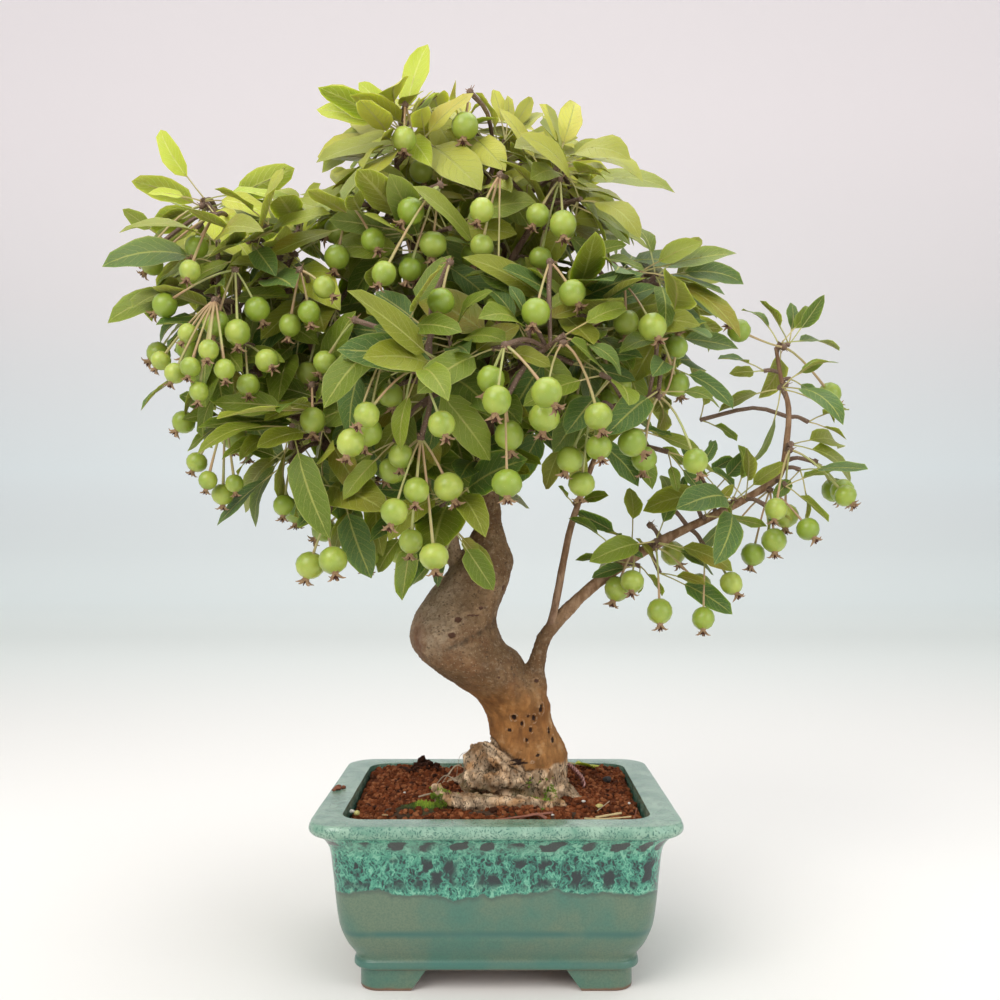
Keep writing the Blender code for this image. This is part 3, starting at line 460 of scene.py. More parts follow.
def satinGlaze(look, z, grain):
    # Mottled teal, with a line where the panel ends and a few tan patches
    lower = look.mix(look.clouds(0.35, 0.65, 22, 4, 0.6), (0.060, 0.165, 0.118), (0.125, 0.178, 0.112))
    lower = look.veil(look.between(grain, 0.35, 0.7), 0.4, lower, (0.035, 0.10, 0.075))
    panelEnd = look.between(look.math("ABSOLUTE", look.less(z, 0.0375)), 0.0036, 0.0)
    lower = look.veil(panelEnd, look.clouds(0.28, 0.5, 26, 2), lower, (0.040, 0.125, 0.10))
    tan = look.between(look.noise(31, 4, 0.7, look.stretched((1, 1, 0.8))), 0.69, 0.76)
    return look.veil(tan, 0.6, lower, (0.27, 0.21, 0.11))


def potGlaze():
    # A turquoise lip, a webbed drip band, a satin teal glaze below it, and bare clay under the feet
    look = Surface("dripGlaze", 0.22, Coat_Weight=0.3, Coat_Roughness=0.1)
    z = look.axis("Z")
    grain = look.noise(900, 3, 0.6)
    bent = bentPlace(look)
    web = look.between(look.cells(430, "DISTANCE_TO_EDGE", look.stretched((1, 1, 0.45), bent)), 0.02, 0.30)
    patch = look.noise(210, 5, 0.7, look.stretched((1, 1, 0.4), bent))
    low = look.times(look.between(z, 0.086, 0.080), look.between(z, 0.062, 0.070))
    strand = look.plus(look.times(web, 0.30), look.times(look.between(patch, 0.22, 0.78), 0.62))
    strand = look.math("MULTIPLY_ADD", low, 0.13, strand)
    upper = look.between(look.math("MULTIPLY_ADD", patch, 0.003, z), 0.0975, 0.1005)
    upper = look.mix(upper, dripBand(look, z, bent, strand, low, grain), glazedLip(look, z, bent))
    # the drips end along a wavy edge and shade what is below them
    edge = look.plus(look.times(look.noise(34, 2, 0.4, look.stretched((1, 1, 0.1))), 0.022), 0.0485)
    above = look.less(z, look.plus(edge, look.times(look.noise(220, 2), 0.004)))
    dripped = look.between(above, -0.0006, 0.0010)
    shade = look.between(above, -0.0035, 0.0)
    lower = look.veil(shade, 0.7, satinGlaze(look, z, grain), (0.050, 0.075, 0.060))
    paint = look.mix(dripped, lower, upper)
    bead = look.times(look.between(z, 0.0135, 0.0155), look.between(z, 0.0195, 0.0175))
    paint = look.veil(bead, 0.6, paint, (0.035, 0.14, 0.115))
    under = look.between(look.axis("Z", look.add("NewGeometry").outputs["Normal"]), -0.3, -0.7)
    sole = look.between(look.math("MULTIPLY_ADD", look.noise(160, 3), 0.0016, z), 0.0034, 0.0018)
    clay = look.math("MAXIMUM", look.times(under, look.between(z, 0.0140, 0.0132)), sole)
    paint = look.mix(clay, paint, look.mix(grain, (0.12, 0.06, 0.035), (0.24, 0.14, 0.085)))
    rough = look.mix(dripped, (0.38, 0.38, 0.38), (0.20, 0.20, 0.20))
    look.fill(look.shader.inputs["Roughness"], look.mix(clay, rough, (0.85, 0.85, 0.85)))
    height = look.less(look.times(grain, 0.25), look.times(strand, look.times(dripped, 0.9)))
    return look.finish(paint, look.plus(height, look.times(dripped, 0.8)), 0.0006, 0.5)


def makePot():
    bm = makePotBody()
    for mirrorX in (1, -1):
        for mirrorY in (1, -1):
            addFoot(bm, mirrorX, mirrorY)
    piece = makePiece("glazed_pot", bm, [potGlaze()], ["pot"], 35)
    drillPot(piece)
    print("pot", len(piece.data.polygons), "faces")


# Wood: the same rings, roots and limbs as the solids, with finer skins

trunk = (  # from the buried stump up to where it thins: x, y, height, width across the front
    (14, 0, 66, 36), (17, 0, 94, 61), (19, 0, 114, 54), (20, 0, 132, 47.5), (16, 0, 151, 41.5),
    (10.5, -2, 165, 47.5), (-8, -6, 180, 59), (-19, -10, 194, 69), (-26.5, -12, 204, 62),
    (-26.5, -12, 218, 54), (-20.5, -9, 231, 49), (-14, -5, 244, 43), (-9, -1, 256, 38), (-6, 2, 268, 27),
    (-5, 4, 281, 18),
)
roots = (  # surface roots and bulges at the trunk's foot: x, y, z, thickness
    ((-38, -33, 116, 7), (-34, -36, 105, 11), (-17, -35, 102, 14), (15, -33, 101, 14), (40, -31, 97, 9)),
    ((-20, -18, 118, 10), (-8, -22, 114, 14), (24, -19, 111, 12)),
    ((-12, -8, 137, 9), (-12, -10, 126, 22), (-14, -6, 104, 22)),
    ((24, -8, 128, 26), (38, -8, 109, 19), (62, -6, 92, 7)),
    ((-2, 10, 120, 26), (-18, 20, 106, 18), (-50, 36, 91, 7)),
    ((22, 12, 120, 28), (28, 26, 106, 19), (38, 56, 91, 7)),
    ((28, -14, 112, 16), (44, -34, 95, 8)),
)
limbs = {  # x, y, z, thickness
    "leader": ((-9, 0, 262, 20), (-5, 4, 280, 17), (-5, 5, 303, 11.5), (-6, 2, 342, 8.8), (-6, 0, 401, 7.4),
               (-6, 2, 468, 5.4), (-7, 4, 497, 4.2), (-1, 6, 524, 3)),
    "leftLow": ((-14, -4, 240, 14), (-27, -5, 255, 11), (-33, -8, 276, 9.8), (-47, -12, 295, 8.4),
                (-72, -17, 313, 7.7), (-106, -21, 327, 7.1), (-124, -23, 346, 6.4), (-138, -24, 362, 5.7),
                (-154, -23, 380, 5), (-168, -19, 414, 3.4)),
    "leftUp": ((-123, -23, 345, 6), (-117, -21, 369, 5.5), (-118, -18, 391, 5.2), (-127, -15, 413, 4.9),
               (-135, -13, 431, 4.5), (-137, -12, 447, 4), (-162, -10, 465, 3.2), (-184, -8, 483, 2.6)),
    "topLeft": ((-6, 0, 390, 6.6), (-27, -6, 412, 6), (-43, -10, 433, 5.5), (-53, -14, 457, 5),
                (-57, -14, 475, 4.4), (-65, -12, 512, 3.4), (-62, -12, 528, 2.6)),
    "topRight": ((-6, 1, 425, 5.4), (9, -8, 451, 4.8), (33, -12, 490, 3.4), (39, -12, 506, 2.6)),
    "rightUp": ((-6, 0, 358, 6), (18, -14, 375, 5.4), (46, -30, 393, 4.6), (80, -40, 418, 3.4),
                (95, -40, 429, 2.6)),
    "rightLow": ((-5, 3, 330, 6), (21, -20, 341, 5.3), (71, -52, 350, 3.8), (92, -60, 355, 2.8)),
    "front": ((-6, 1, 345, 6), (-17, -38, 353, 5.2), (-30, -72, 358, 4.4), (-40, -98, 360, 3)),
    "frontRight": ((-6, 0, 366, 6), (8, -45, 370, 5.2), (22, -74, 376, 4.2), (31, -96, 380, 3)),
    "back": ((-6, 1, 352, 6.2), (2, 42, 374, 5.8), (12, 79, 395, 5), (19, 107, 412, 3.4)),
    "backLeft": ((-5, 3, 326, 6.2), (-34, 42, 350, 5.8), (-70, 74, 374, 5), (-104, 90, 398, 3.4)),
    "backHigh": ((-6, 1, 412, 5.6), (-2, 34, 444, 5.2), (6, 60, 478, 4.4), (10, 74, 506, 3)),
    "backRight": ((-6, 0, 376, 6), (30, 40, 386, 5.6), (70, 68, 402, 4.6), (104, 82, 418, 3)),
    "low": ((17, -4, 152, 14), (25, -9, 168, 15), (26, -9, 188, 11.5), (34, -6, 209, 9.4), (56, -1, 232, 8),
            (82, 2, 252, 7.2), (109, 4, 268, 6.5), (146, 6, 286, 5.6), (170, 5, 299, 5.2), (188, 4, 312, 4.8),
            (192, 2, 332, 4.3), (193, 0, 356, 3.7), (188, -1, 374, 3.1), (184, -2, 396, 2.4)),
    "thin": ((34, -6, 208, 6), (38, -8, 225, 5), (44, -4, 255, 4.6), (49, -2, 278, 4.3), (60, 3, 310, 3.7),
             (72, 8, 340, 2.7)),
}
bark = {
    "voxel": 1.15, "spare": 0.4, "thickOver": 3.1,  # limbs over this radius are grown together with the trunk
    "around": 48, "sides": 14, "thinSides": 10,
    "fold": (-17, 207), "wound": (-50, 207),  # x and z of the bulge's crease and of the torn patch beside it
    "rifts": (0, 4.2),  # open cracks along the foot's upper edge: how far below it
    "ridges": (  # low swellings on the roots, as the roots above
        ((-9, -13, 137, 8), (-1, -18, 130, 11), (9, -22, 123, 10), (20, -23, 119, 5)),
        ((-37, -33, 113, 7), (-33, -38, 108, 12), (-11, -41, 105, 14.5), (14, -41, 103.5, 13.5),
         (36, -37, 101.5, 10)),
        ((-14, -22, 116, 8), (0, -26, 115, 10), (22, -24, 113, 9)),
    ),
    "eyes": (  # lenticels and scars on the front: x, z, half width, half height, depth
        (11, 154.5, 1.7, 1.9, 1.2), (24, 153.9, 1.2, 2.1, 1.2), (16.3, 150.5, 1.1, 1.9, 1.2),
        (21.8, 146.6, 1.1, 1.7, 1.1), (19.2, 140.2, 1.2, 1.6, 1.1), (34.5, 145.3, 0.9, 2.5, 1.2),
        (28.8, 160, 1.3, 3.0, 1.3), (8, 146, 1.8, 0.9, 0.7), (26.5, 130.5, 0.9, 1.6, 1.0),
        (15.5, 126.4, 6.5, 0.8, 1.0), (12.5, 128.4, 4.0, 0.6, 0.8), (20.5, 155.5, 1.0, 1.2, 0.9),
        (36.5, 139, 1.2, 2.2, 0.9), (-24, 218.9, 2.6, 2.0, 0.8), (-27.9, 209.4, 2.6, 2.1, 1.1),
        (-14.5, 221.5, 4.4, 0.7, 0.6), (-9.8, 225.8, 1.8, 1.3, 0.6), (4.8, 238, 1.0, 2.0, 0.6),
        (-31, 222.5, 0.7, 0.7, 0.3), (25.5, 178, 1.6, 1.4, 0.5), (1.5, 182, 1.2, 0.9, 0.4),
        (3.0, 191, 0.8, 0.7, 0.4), (-36.5, 221.5, 0.8, 0.7, 0.3),
    ),
}


def loft(rings):
    # Points and faces of a closed skin over rings, only to test for room between shapes
    points, faces, spans = [], [], []
    for ring in rings:
        spans.append(list(range(len(points), len(points) + len(ring))))
        points += ring
    if len(spans[0]) > 1:
        faces.append(tuple(reversed(spans[0])))
    for low, high in zip(spans, spans[1:]):
        for i in range(max(len(low), len(high))):
            j = (i + 1) % max(len(low), len(high))
            if len(low) == 1:
                faces.append((low[0], high[j], high[i]))
            elif len(high) == 1:
                faces.append((low[i], low[j], high[0]))
            else:
                faces.append((low[i], low[j], high[j], high[i]))
    if len(spans[-1]) > 1:
        faces.append(tuple(spans[-1]))
    return points, faces


def turnedRings(rows, sides):
    side = rows[0][1].orthogonal().normalized()
    rings = []
    for middle, heading, radius in rows:
        course = heading.normalized()
        side = squareTo(course, side)
        across = course.cross(side)
        ring = []
        for k in range(sides):
            angle = math.tau * k / sides
            ring.append(middle + radius * (math.cos(angle) * side + math.sin(angle) * across))
        rings.append(ring)
    return rings


def plainTube(points, radii, sides):
    rows = [(point, aheadAt(points, i), radii[i]) for i, point in enumerate(points)]
    return loft(turnedRings(rows, sides))


def plainBall(centre, radius, sides, rows):
    turns = [math.pi * row / rows for row in range(1, rows)]
    middles = [(centre - up * radius * math.cos(turn), up, radius * math.sin(turn)) for turn in turns]
    return loft([[centre - up * radius], *turnedRings(middles, sides), [centre + up * radius]])


def trunkPoint(x, y, z, width, angle, extra=0.0):
    # A point on the trunk's level ring, lobed where it is thick
    lobes = min(1, width / 40) ** 2
    depth = (1 - 0.12 * lobes) * min(1, 61 / width)
    swell = 0.05 * math.sin(2 * angle + z / 17) + 0.04 * math.sin(3 * angle - z / 11)
    reach = (1 + lobes * swell) * width / 2 + extra
    return Vector((x + reach * math.cos(angle), y + reach * depth * math.sin(angle), z))


def limbRoute(name):
    return smoothRoute(limbs[name], 1 if len(limbs[name]) > 6 else 2)


def plainWood(extra):
    shapes = [loft([[trunkPoint(*row, math.tau * k / 12, extra) for k in range(12)] for row in trunk])]
    for knots in roots:
        points, radii = smoothRoute(knots, 1)
        shapes.append(plainTube(points, [radius + extra for radius in radii], 6))
    for name in limbs:
        points, radii = limbRoute(name)
        shapes.append(plainTube(points, [radius + extra for radius in radii], 5 if radii[0] < 4 else 6))
    return shapes


def eyeAt(place, normal):
    # How deep a scar is here, from 0 to 1, and how far it presses the bark in
    if normal.y > 0.1:
        return 0, 0
    deepest, press = 0, 0
    for x, z, halfWidth, halfHeight, depth in bark["eyes"]:
        apart = math.hypot((place.x - x) / halfWidth, (place.z - z) / halfHeight)
        apart += 0.3 * noise.noise(place * 0.8)
        if apart < 2.2:
            inside = softStep(1.15, 0.55, apart)
            lip = softStep(2.0, 1.35, apart) * softStep(0.8, 1.2, apart)
            deepest = inside if inside > 0 else -lip
            press = depth * inside - 0.45 * depth * lip
    return deepest, press


def footTop(x):
    # How high the cracked bark of the foot reaches up: over the knob at the left and the root at the right
    overKnob, overRoot = 140.7 - 0.737 * (x + 5.7), 119.6 + 0.28 * (x - 22.9)
    return min(146, max(overKnob, overRoot))


def barkRelief(place, normal):
    # How far the bark stands out here, how worn or cracked it is with painted shade along the bulge's crease,
    # and how deep a scar is
    above = place.z - footTop(place.x) + 2.2 * noise.noise(place * 0.14)
    base = softStep(3, -9, above)
    swell = 1.3 * noise.noise(place * Vector((0.035, 0.035, 0.02)).length) + 0.5 * noise.noise(place * 0.11)
    squashed = Vector((place.x, place.y, place.z * 0.75)) * 0.13
    crack = softStep(0.55, 1.35, noise.ridged_multi_fractal(squashed, 0.9, 2.1, 4, 1.0, 2.0))
    pebble = noise.voronoi(place * 0.16)[0][0]
    eye, press = eyeAt(place, normal)
    ragged = 1 + 0.8 * noise.noise(place * 0.5)
    rift = 0
    if place.x < 24 and normal.y < 0.3:
        upper, lower = bark["rifts"]
        rift = max(softStep(1.5, 0.3, abs(above + upper)), softStep(1.2, 0.3, abs(above + lower)))
    foldX, foldZ = bark["fold"]
    bend = (place.x - foldX) * 0.448 - (place.z - foldZ) * 0.894 + 1.5 * noise.noise(place * 0.2)
    fold = 0
    if place.x < 8 and normal.y < 0:
        fold = ragged * softStep(3.6, 0.3, abs(bend)) * softStep(-40, -28, place.x)
    woundX, woundZ = bark["wound"]
    wound = 0
    if normal.y < 0.3:
        wound = softStep(9, 1, math.hypot((place.x - woundX) * 1.2, (place.z - woundZ) * 0.45))
    out = swell * 0.8 - press - 1.3 * fold
    smooth = 0.28 * noise.noise(place * 0.55) + 0.16 * noise.noise(place * 1.1) - 0.25 * crack
    out += base * (1.9 * (0.45 - pebble) - 1.5 * crack) + (1 - base) * smooth
    out += wound * (0.9 - 1.6 * crack) - 1.1 * rift
    # the cracks and rifts are dark, and the bulge's crease gets painted shade
    dark = min(1, max(crack * (0.25 + 0.42 * base), fold * 0.6, rift))
    return out, dark, eye, wound, softStep(0.6, -1.2, above)


def tanBark(look, soft, grain):
    # The stem above the foot: orange tan with darker grain and pale patches
    tan = look.mix(look.between(soft, 0.3, 0.7), (0.27, 0.105, 0.026), (0.47, 0.22, 0.07))
    tan = look.veil(look.between(grain, 0.4, 0.7), 0.55, tan, (0.13, 0.05, 0.016))
    return look.veil(look.clouds(0.58, 0.72, 90, 3), 0.5, tan, (0.58, 0.36, 0.18))


def greyBark(look, z, soft, fine, grain, specks):
    # From the bulge up: grey-brown with pale and brown patches, a painted sheen on the bulge's left, and
    # specks
    grey = look.mix(look.between(soft, 0.3, 0.7), (0.140, 0.070, 0.028), (0.265, 0.160, 0.080))
    grey = look.veil(look.clouds(0.52, 0.72, 150, 4, 0.7), 0.5, grey, (0.42, 0.31, 0.20))
    # a painted sheen: the left of the bulge is made paler where the light falls on it
    paintedSheen = look.times(look.between(look.axis("X"), -0.010, -0.040), look.between(z, 0.186, 0.205))
    grey = look.veil(paintedSheen, look.between(grain, 0.25, 0.7, 0.25, 0.6), grey, (0.50, 0.40, 0.28))
    brown = look.times(look.clouds(0.46, 0.60, 38, 5, 0.7), look.between(z, 0.235, 0.200))
    grey = look.veil(brown, 0.75, grey, look.mix(soft, (0.10, 0.040, 0.013), (0.26, 0.125, 0.055)))
    grey = look.veil(look.between(fine, 0.48, 0.60), 0.38, grey, (0.095, 0.048, 0.022))
    grey = look.veil(look.clouds(0.58, 0.68, 700, 3, 0.6), 0.5, grey, (0.46, 0.34, 0.21))
    return look.veil(specks, 0.65, grey, (0.045, 0.028, 0.018))


def footBark(look):
    # The foot: ochre to pale, with dark patches and thin dark splits
    foot = look.mix(look.clouds(0.32, 0.68, 110, 4, 0.65), (0.42, 0.225, 0.10), (0.82, 0.60, 0.39))
    foot = look.mix(look.clouds(0.61, 0.71, 62, 4, 0.7), foot, (0.10, 0.062, 0.030))
    split = look.noise(150, 3, 0.6, look.stretched((1.6, 1.6, 0.4)))
    split = look.between(look.math("ABSOLUTE", look.less(split, 0.5)), 0.022, 0.006)
    return look.mix(split, foot, (0.035, 0.022, 0.011))


def wornAndShadedBark(look, z, stem, fine):
    # Dark cracks with painted shade along the bulge's crease, moss stain at the foot, the torn patch, and the
    # scars with their pale lips
    eye = look.attribute("eye")
    # the crack attribute darkens the cracks and rifts and paints shade along the bulge's crease
    stem = look.veil(look.attribute("crack"), 0.85, stem, (0.028, 0.018, 0.010))
    green = look.times(look.between(z, 0.122, 0.104), look.clouds(0.5, 0.62, 52, 3))
    stem = look.veil(green, 0.4, stem, (0.07, 0.085, 0.02))
    torn = look.mix(fine, (0.045, 0.018, 0.010), (0.24, 0.11, 0.06))
    stem = look.veil(look.attribute("wound"), 0.7, stem, torn)
    lip = look.times(look.between(eye, -0.3, -0.9), look.clouds(0.42, 0.62, 330, 2))
    lip = look.times(lip, look.between(z, 0.19, 0.165, 0.3))
    stem = look.veil(lip, 0.8, stem, (0.46, 0.30, 0.18))
    scar = look.mix(fine, (0.03, 0.012, 0.008), (0.15, 0.07, 0.04))
    scar = look.mix(look.between(z, 0.165, 0.185), (0.030, 0.014, 0.008), scar)
    return look.mix(look.between(eye, 0.1, 0.6), stem, scar)


def barkLook():
    # Ochre and cracked at the foot, orange tan above it, then grey-brown, and red-brown on thin limbs
    look = Surface("bark", 0.8, Specular_IOR_Level=0.25)
    z = look.axis("Z")
    soft, fine = look.noise(45, 4, 0.6), look.noise(420, 5, 0.65)
    grain = look.noise(260, 4, 0.6, look.stretched((1, 1, 0.35)))
    specks = look.between(look.cells(330, "F1", look.stretched((1, 1, 1.5))), 0.30, 0.14)
    specks = look.times(specks, look.clouds(0.42, 0.6, 90, 2))
    rise = look.math("MULTIPLY_ADD", look.noise(24, 3), 0.02, z)
    grey = greyBark(look, z, soft, fine, grain, specks)
    stem = look.mix(look.between(rise, 0.168, 0.192), tanBark(look, soft, grain), grey)
    stem = look.mix(look.attribute("foot"), stem, footBark(look))
    stem = wornAndShadedBark(look, z, stem, fine)
    thin = look.mix(look.between(grain, 0.35, 0.65), (0.13, 0.068, 0.042), (0.235, 0.15, 0.095))
    thin = look.veil(specks, 0.4, thin, (0.34, 0.26, 0.19))
    # the right limb is lighter
    right = look.times(look.between(look.axis("X"), 0.026, 0.05), look.between(z, 0.43, 0.36))
    light = look.mix(look.between(grain, 0.35, 0.65), (0.23, 0.125, 0.065), (0.42, 0.265, 0.16))
    thin = look.veil(right, 0.85, thin, light)
    stem = look.veil(look.times(right, look.between(z, 0.185, 0.205)), 0.6, stem, light)
    paint = look.mix(look.between(look.attribute("girth"), 0.25, 0.8), thin, stem)
    paint = look.veil(look.between(fine, 0.55, 0.75), 0.3, paint, (0.06, 0.04, 0.028))
    height = look.plus(look.times(fine, 0.55), look.times(grain, 0.45))
    height = look.less(height, look.times(specks, 0.35))
    return look.finish(paint, height, 0.0011, 0.75)


def makeWood():
    # Trunk, roots and thick limbs are grown into one skin, then the thin limbs are laid on
    bm = bmesh.new()
    rows = [Vector((*point, 2 * radius)) for point, radius in zip(*smoothRoute(trunk, 4))]
    rollGrid(bm, bark["around"], len(rows), lambda share, row: trunkPoint(*rows[row], math.tau * share))
    bm = fromMesh(toMesh(bm, "trunk"))
    for knots in roots + bark["ridges"]:
        addTube(bm, *smoothRoute(knots, 5), sides=bark["sides"])
    thinStarts = {}
    for name, knots in limbs.items():
        points, radii = smoothRoute(knots, 4)
        thick = [i for i, radius in enumerate(radii) if radius >= bark["thickOver"]]
        count = thick[-1] + 1 if thick else 0
        if count > 4:
            spared = [radius + bark["spare"] for radius in radii[:count]]
            addTube(bm, points[:count], spared, sides=bark["sides"])
        thinStarts[name] = max(0, count - 4) if count > 4 else 0
    grown = toScene("grown", toMesh(bm, "grown"))
    skin = grown.modifiers.new("skin", "REMESH")
    skin.mode = "VOXEL"
    skin.voxel_size = bark["voxel"]
    ease = grown.modifiers.new("ease", "SMOOTH")
    ease.factor = 0.5
    ease.iterations = 5
    applyModifiers(grown)
    bm = fromMesh(grown.data)
    bpy.data.objects.remove(grown)
    layers = [bm.verts.layers.float.new(name) for name in ("crack", "eye", "wound", "foot", "girth")]
    bm.normal_update()
    moved = []
    for vert in bm.verts:
        out, crack, eye, wound, foot = barkRelief(vert.co, vert.normal)
        girth = softStep(330, 300, vert.co.z) * softStep(75, 45, abs(vert.co.x))
        spot = vert.co + vert.normal * out * (0.3 + 0.7 * girth)
        moved.append((vert, spot, (crack * girth, eye, wound, foot, girth)))
    for vert, place, values in moved:
        vert.co = place
        for layer, value in zip(layers, values):
            vert[layer] = value
    for name, knots in limbs.items():
        points, radii = smoothRoute(knots, 4)
        start = thinStarts[name]
        knobs = [1 + 0.12 * max(0, noise.noise(point * 0.09)) for point in points]
        knobby = [radius * knob for radius, knob in zip(radii, knobs)]
        addTube(bm, points[start:], knobby[start:], sides=bark["thinSides"], rough=0.14)
    woodTree = BVHTree.FromBMesh(bm)
    makePiece("trunk_and_branches", bm, [barkLook()], ["trunk_and_limbs"], 60)
    print("wood")
    return woodTree


# Crown: the same draws as the solids make, so that each of their leaves and fruits has its finer one here

crown = {
    "hubRadius": 2.2, "fruitRadius": 8.4, "stalkRadius": 0.75, "stalkLength": 40,
    "leafReach": 58, "petiole": 16, "thick": 1.3, "margin": 1.1, "stations": (0.33, 0.72, 1),
    "leafTries": 30, "fruitTries": 40, "openFront": 35, "woodSpare": 0.7,
}
twigs = (  # limb, share of its length, reach, aimed leaves' headings in degrees and reaches, others, youth
    ("topLeft", 0.98, (2, -4, 8), ((78, 62), (55, 34), (133, 44), (155, 58)), 3, 1),
    ("topLeft", 0.66, (-14, -8, 8), ((158, 40), (184, 50)), 4, 0.2),
    ("leader", 0.985, (3, -5, 8), ((133, 54), (150, 48), (92, 38), (48, 42)), 2, 0.4),
    ("topRight", 0.97, (0, -5, 8), ((94, 40), (74, 58), (14, 42)), 4, 0.4),
    ("topRight", 0.55, (14, -8, 4), ((-30, 52), (10, 56)), 4, 0),
    ("leader", 0.86, (-6, -14, 4), ((149, 56), (20, 40)), 4, 0),
    ("leftUp", 0.98, (-9, -3, 9), ((126, 54), (200, 52), (222, 58), (165, 34)), 4, 0.9),
    ("leftUp", 0.62, (8, -8, 8), ((54, 46), (163, 50), (100, 42)), 4, 0.9),
    ("leftLow", 0.98, (-12, -3, 6), ((160, 58), (190, 48)), 4, 0.1),
    ("leftLow", 0.82, (-20, -8, -3), ((242, 44), (262, 40), (205, 46)), 4, 0),
    ("leftUp", 0.36, (24, -14, 10), ((250, 48), (300, 44)), 4, 0),
    ("leftLow", 0.60, (-14, -13, -10), ((229, 58), (192, 48)), 4, 0),
    ("leftLow", 0.38, (-7, -14, -8), ((221, 74), (240, 44), (268, 48)), 4, 0),
    ("leftLow", 0.14, (6, -14, 5), ((-62, 46), (-95, 42)), 2, 0),
    ("front", 0.98, (-6, -8, 8), ((216, 50), (250, 48), (160, 44)), 2, 0),
    ("front", 0.62, (-18, -8, -8), ((216, 50), (262, 44)), 2, 0),
    ("frontRight", 0.98, (8, -8, 4), ((-18, 50), (-75, 46), (30, 42)), 2, 0),
    ("frontRight", 0.60, (4, -12, 22), ((120, 44), (40, 46)), 2, 0),
    ("rightUp", 0.98, (6, -2, 6), ((5, 58), (-18, 50), (45, 40), (100, 40)), 2, 0.1),
    ("rightUp", 0.60, (12, -14, -6), ((-16, 52), (-58, 62)), 4, 0),
    ("rightLow", 0.98, (7, -5, 4), ((-5, 44), (-50, 46)), 4, 0),
    ("rightLow", 0.52, (3, -12, -9), ((-80, 44), (-120, 44)), 2, 0),
    ("thin", 0.98, (4, -5, 6), ((60, 38), (-20, 42)), 4, 0),
    ("back", 0.98, (3, 9, 5), (), 5, 0),
    ("backLeft", 0.98, (-9, 5, 6), ((150, 44),), 5, 0),
    ("backHigh", 0.98, (1, 5, 9), ((70, 40),), 5, 0.5),
    ("backRight", 0.98, (9, 5, 5), ((20, 44),), 5, 0),
    ("backRight", 0.45, (3, 14, 14), (), 5, 0),
    ("low", 0.985, (2, -2, 7), ((47, 42), (115, 38)), 2, 0.5),
    ("low", 0.90, (-5, -5, 5), ((185, 42), (43, 40), (-10, 44)), 2, 0.2),
    ("low", 0.79, (2, -8, 4), ((-8, 66), (-45, 46)), 1, 0),
    ("low", 0.60, (9, -6, 9), ((73, 38), (43, 44)), 4, 0),
    ("low", 0.43, (7, -8, 7), ((-48, 60), (60, 40)), 4, 0),
    ("backLeft", 0.46, (-6, 4, 16), (), 4, 0),
)
shoots = (  # longer shoots that grow on from a twig's tip: the twig, the reach, and leaves by rule
    (0, (6, 38, -8), 4), (1, (14, 50, -18), 5), (2, (-6, 36, 4), 4), (3, (14, 38, -12), 4),
    (4, (18, 34, -8), 4), (4, (18, -30, 5), 4), (6, (-4, 54, 6), 5), (7, (-24, 36, 5), 5),
    (8, (7, -28, 36), 5), (9, (-6, 48, -6), 4), (10, (10, 45, 25), 5), (11, (10, 54, 6), 4),
    (11, (8, -40, 8), 3), (13, (0, -43, 25), 3), (13, (-14, 50, 18), 4), (18, (-10, 43, -1), 5),
    (20, (8, 30, 26), 4), (22, (-37, 21, 17), 4), (24, (50, -12, -10), 4), (25, (-47, 10, -5), 5),
    (26, (-8, -42, 20), 5), (26, (-22, 23, -28), 3), (27, (12, -1, 56), 5), (33, (33, -14, 38), 4),
    (33, (-18, -26, 24), 4),
)
bunches = (  # twig, and its fruits' headings in degrees
    (1, (-60, 200, -95)), (4, (-55, -95, -130)), (5, (-60, -120, -90)), (6, (230, -85)),
    (8, (205, 240, -90, -60)), (9, (200, 228, 255, -70)), (10, (-60, -110)), (11, (225, 255, -80)),
    (12, (215, 238, 262)), (14, (222, 248, 270, 298)), (16, (-60, -100, -20)), (19, (-75, -45, -100)),
    (20, (-105, -55, 60)), (24, (-60, -120)), (28, (160, -35)), (30, (-40, -75, -110, -10)),
    (32, (-30, -70)),
)


def bladeWidth(t):
    return 2.02 * t**0.62 * (1 - t) ** 1.02


def leafAxes(leaf):
    # The ways ahead, up and to the right of a leaf, and where its blade starts
    ahead = leaf["ahead"]
    top = squareTo(ahead, leaf["up"])
    return ahead, top, ahead.cross(top), leaf["root"] + ahead * leaf["petiole"]


def bladeFrame(leaf, t):
    # The blade's middle, the way to its right and its upper face at a share of its length
    ahead, top, right, base = leafAxes(leaf)
    arch = leaf["arch"]
    bend = arch * t
    centre = base + leaf["length"] * (math.sin(bend) * ahead - (1 - math.cos(bend)) * top) / arch
    normal = math.cos(bend) * top + math.sin(bend) * ahead
    turned = leaf["twist"] * t
    side = math.cos(turned) * right + math.sin(turned) * normal
    return centre, side, math.cos(turned) * normal - math.sin(turned) * right


def plainLeaf(leaf, thick, petioleFrom=0.0):
    top, right, base = leafAxes(leaf)[1:]
    stem = 0.55 * thick
    rings = []
    for place in (leaf["root"].lerp(base, petioleFrom), base):
        flat = place + top * stem / 2
        rings.append([flat + right * stem, place - top * stem, flat - right * stem])
    for t in crown["stations"]:
        centre, side, normal = bladeFrame(leaf, t)
        if t == 1:
            rings.append([centre])
            continue
        half = leaf["width"] * bladeWidth(t)
        right = thick / 2 + leaf["wave"] * math.sin(9 * t + leaf["phase"])
        left = thick / 2 + leaf["wave"] * math.sin(8 * t + 2 + leaf["phase"])
        edge = side * half
        rings.append([centre + edge + normal * right, centre - normal * thick, centre - edge + normal * left])
    return loft(rings)


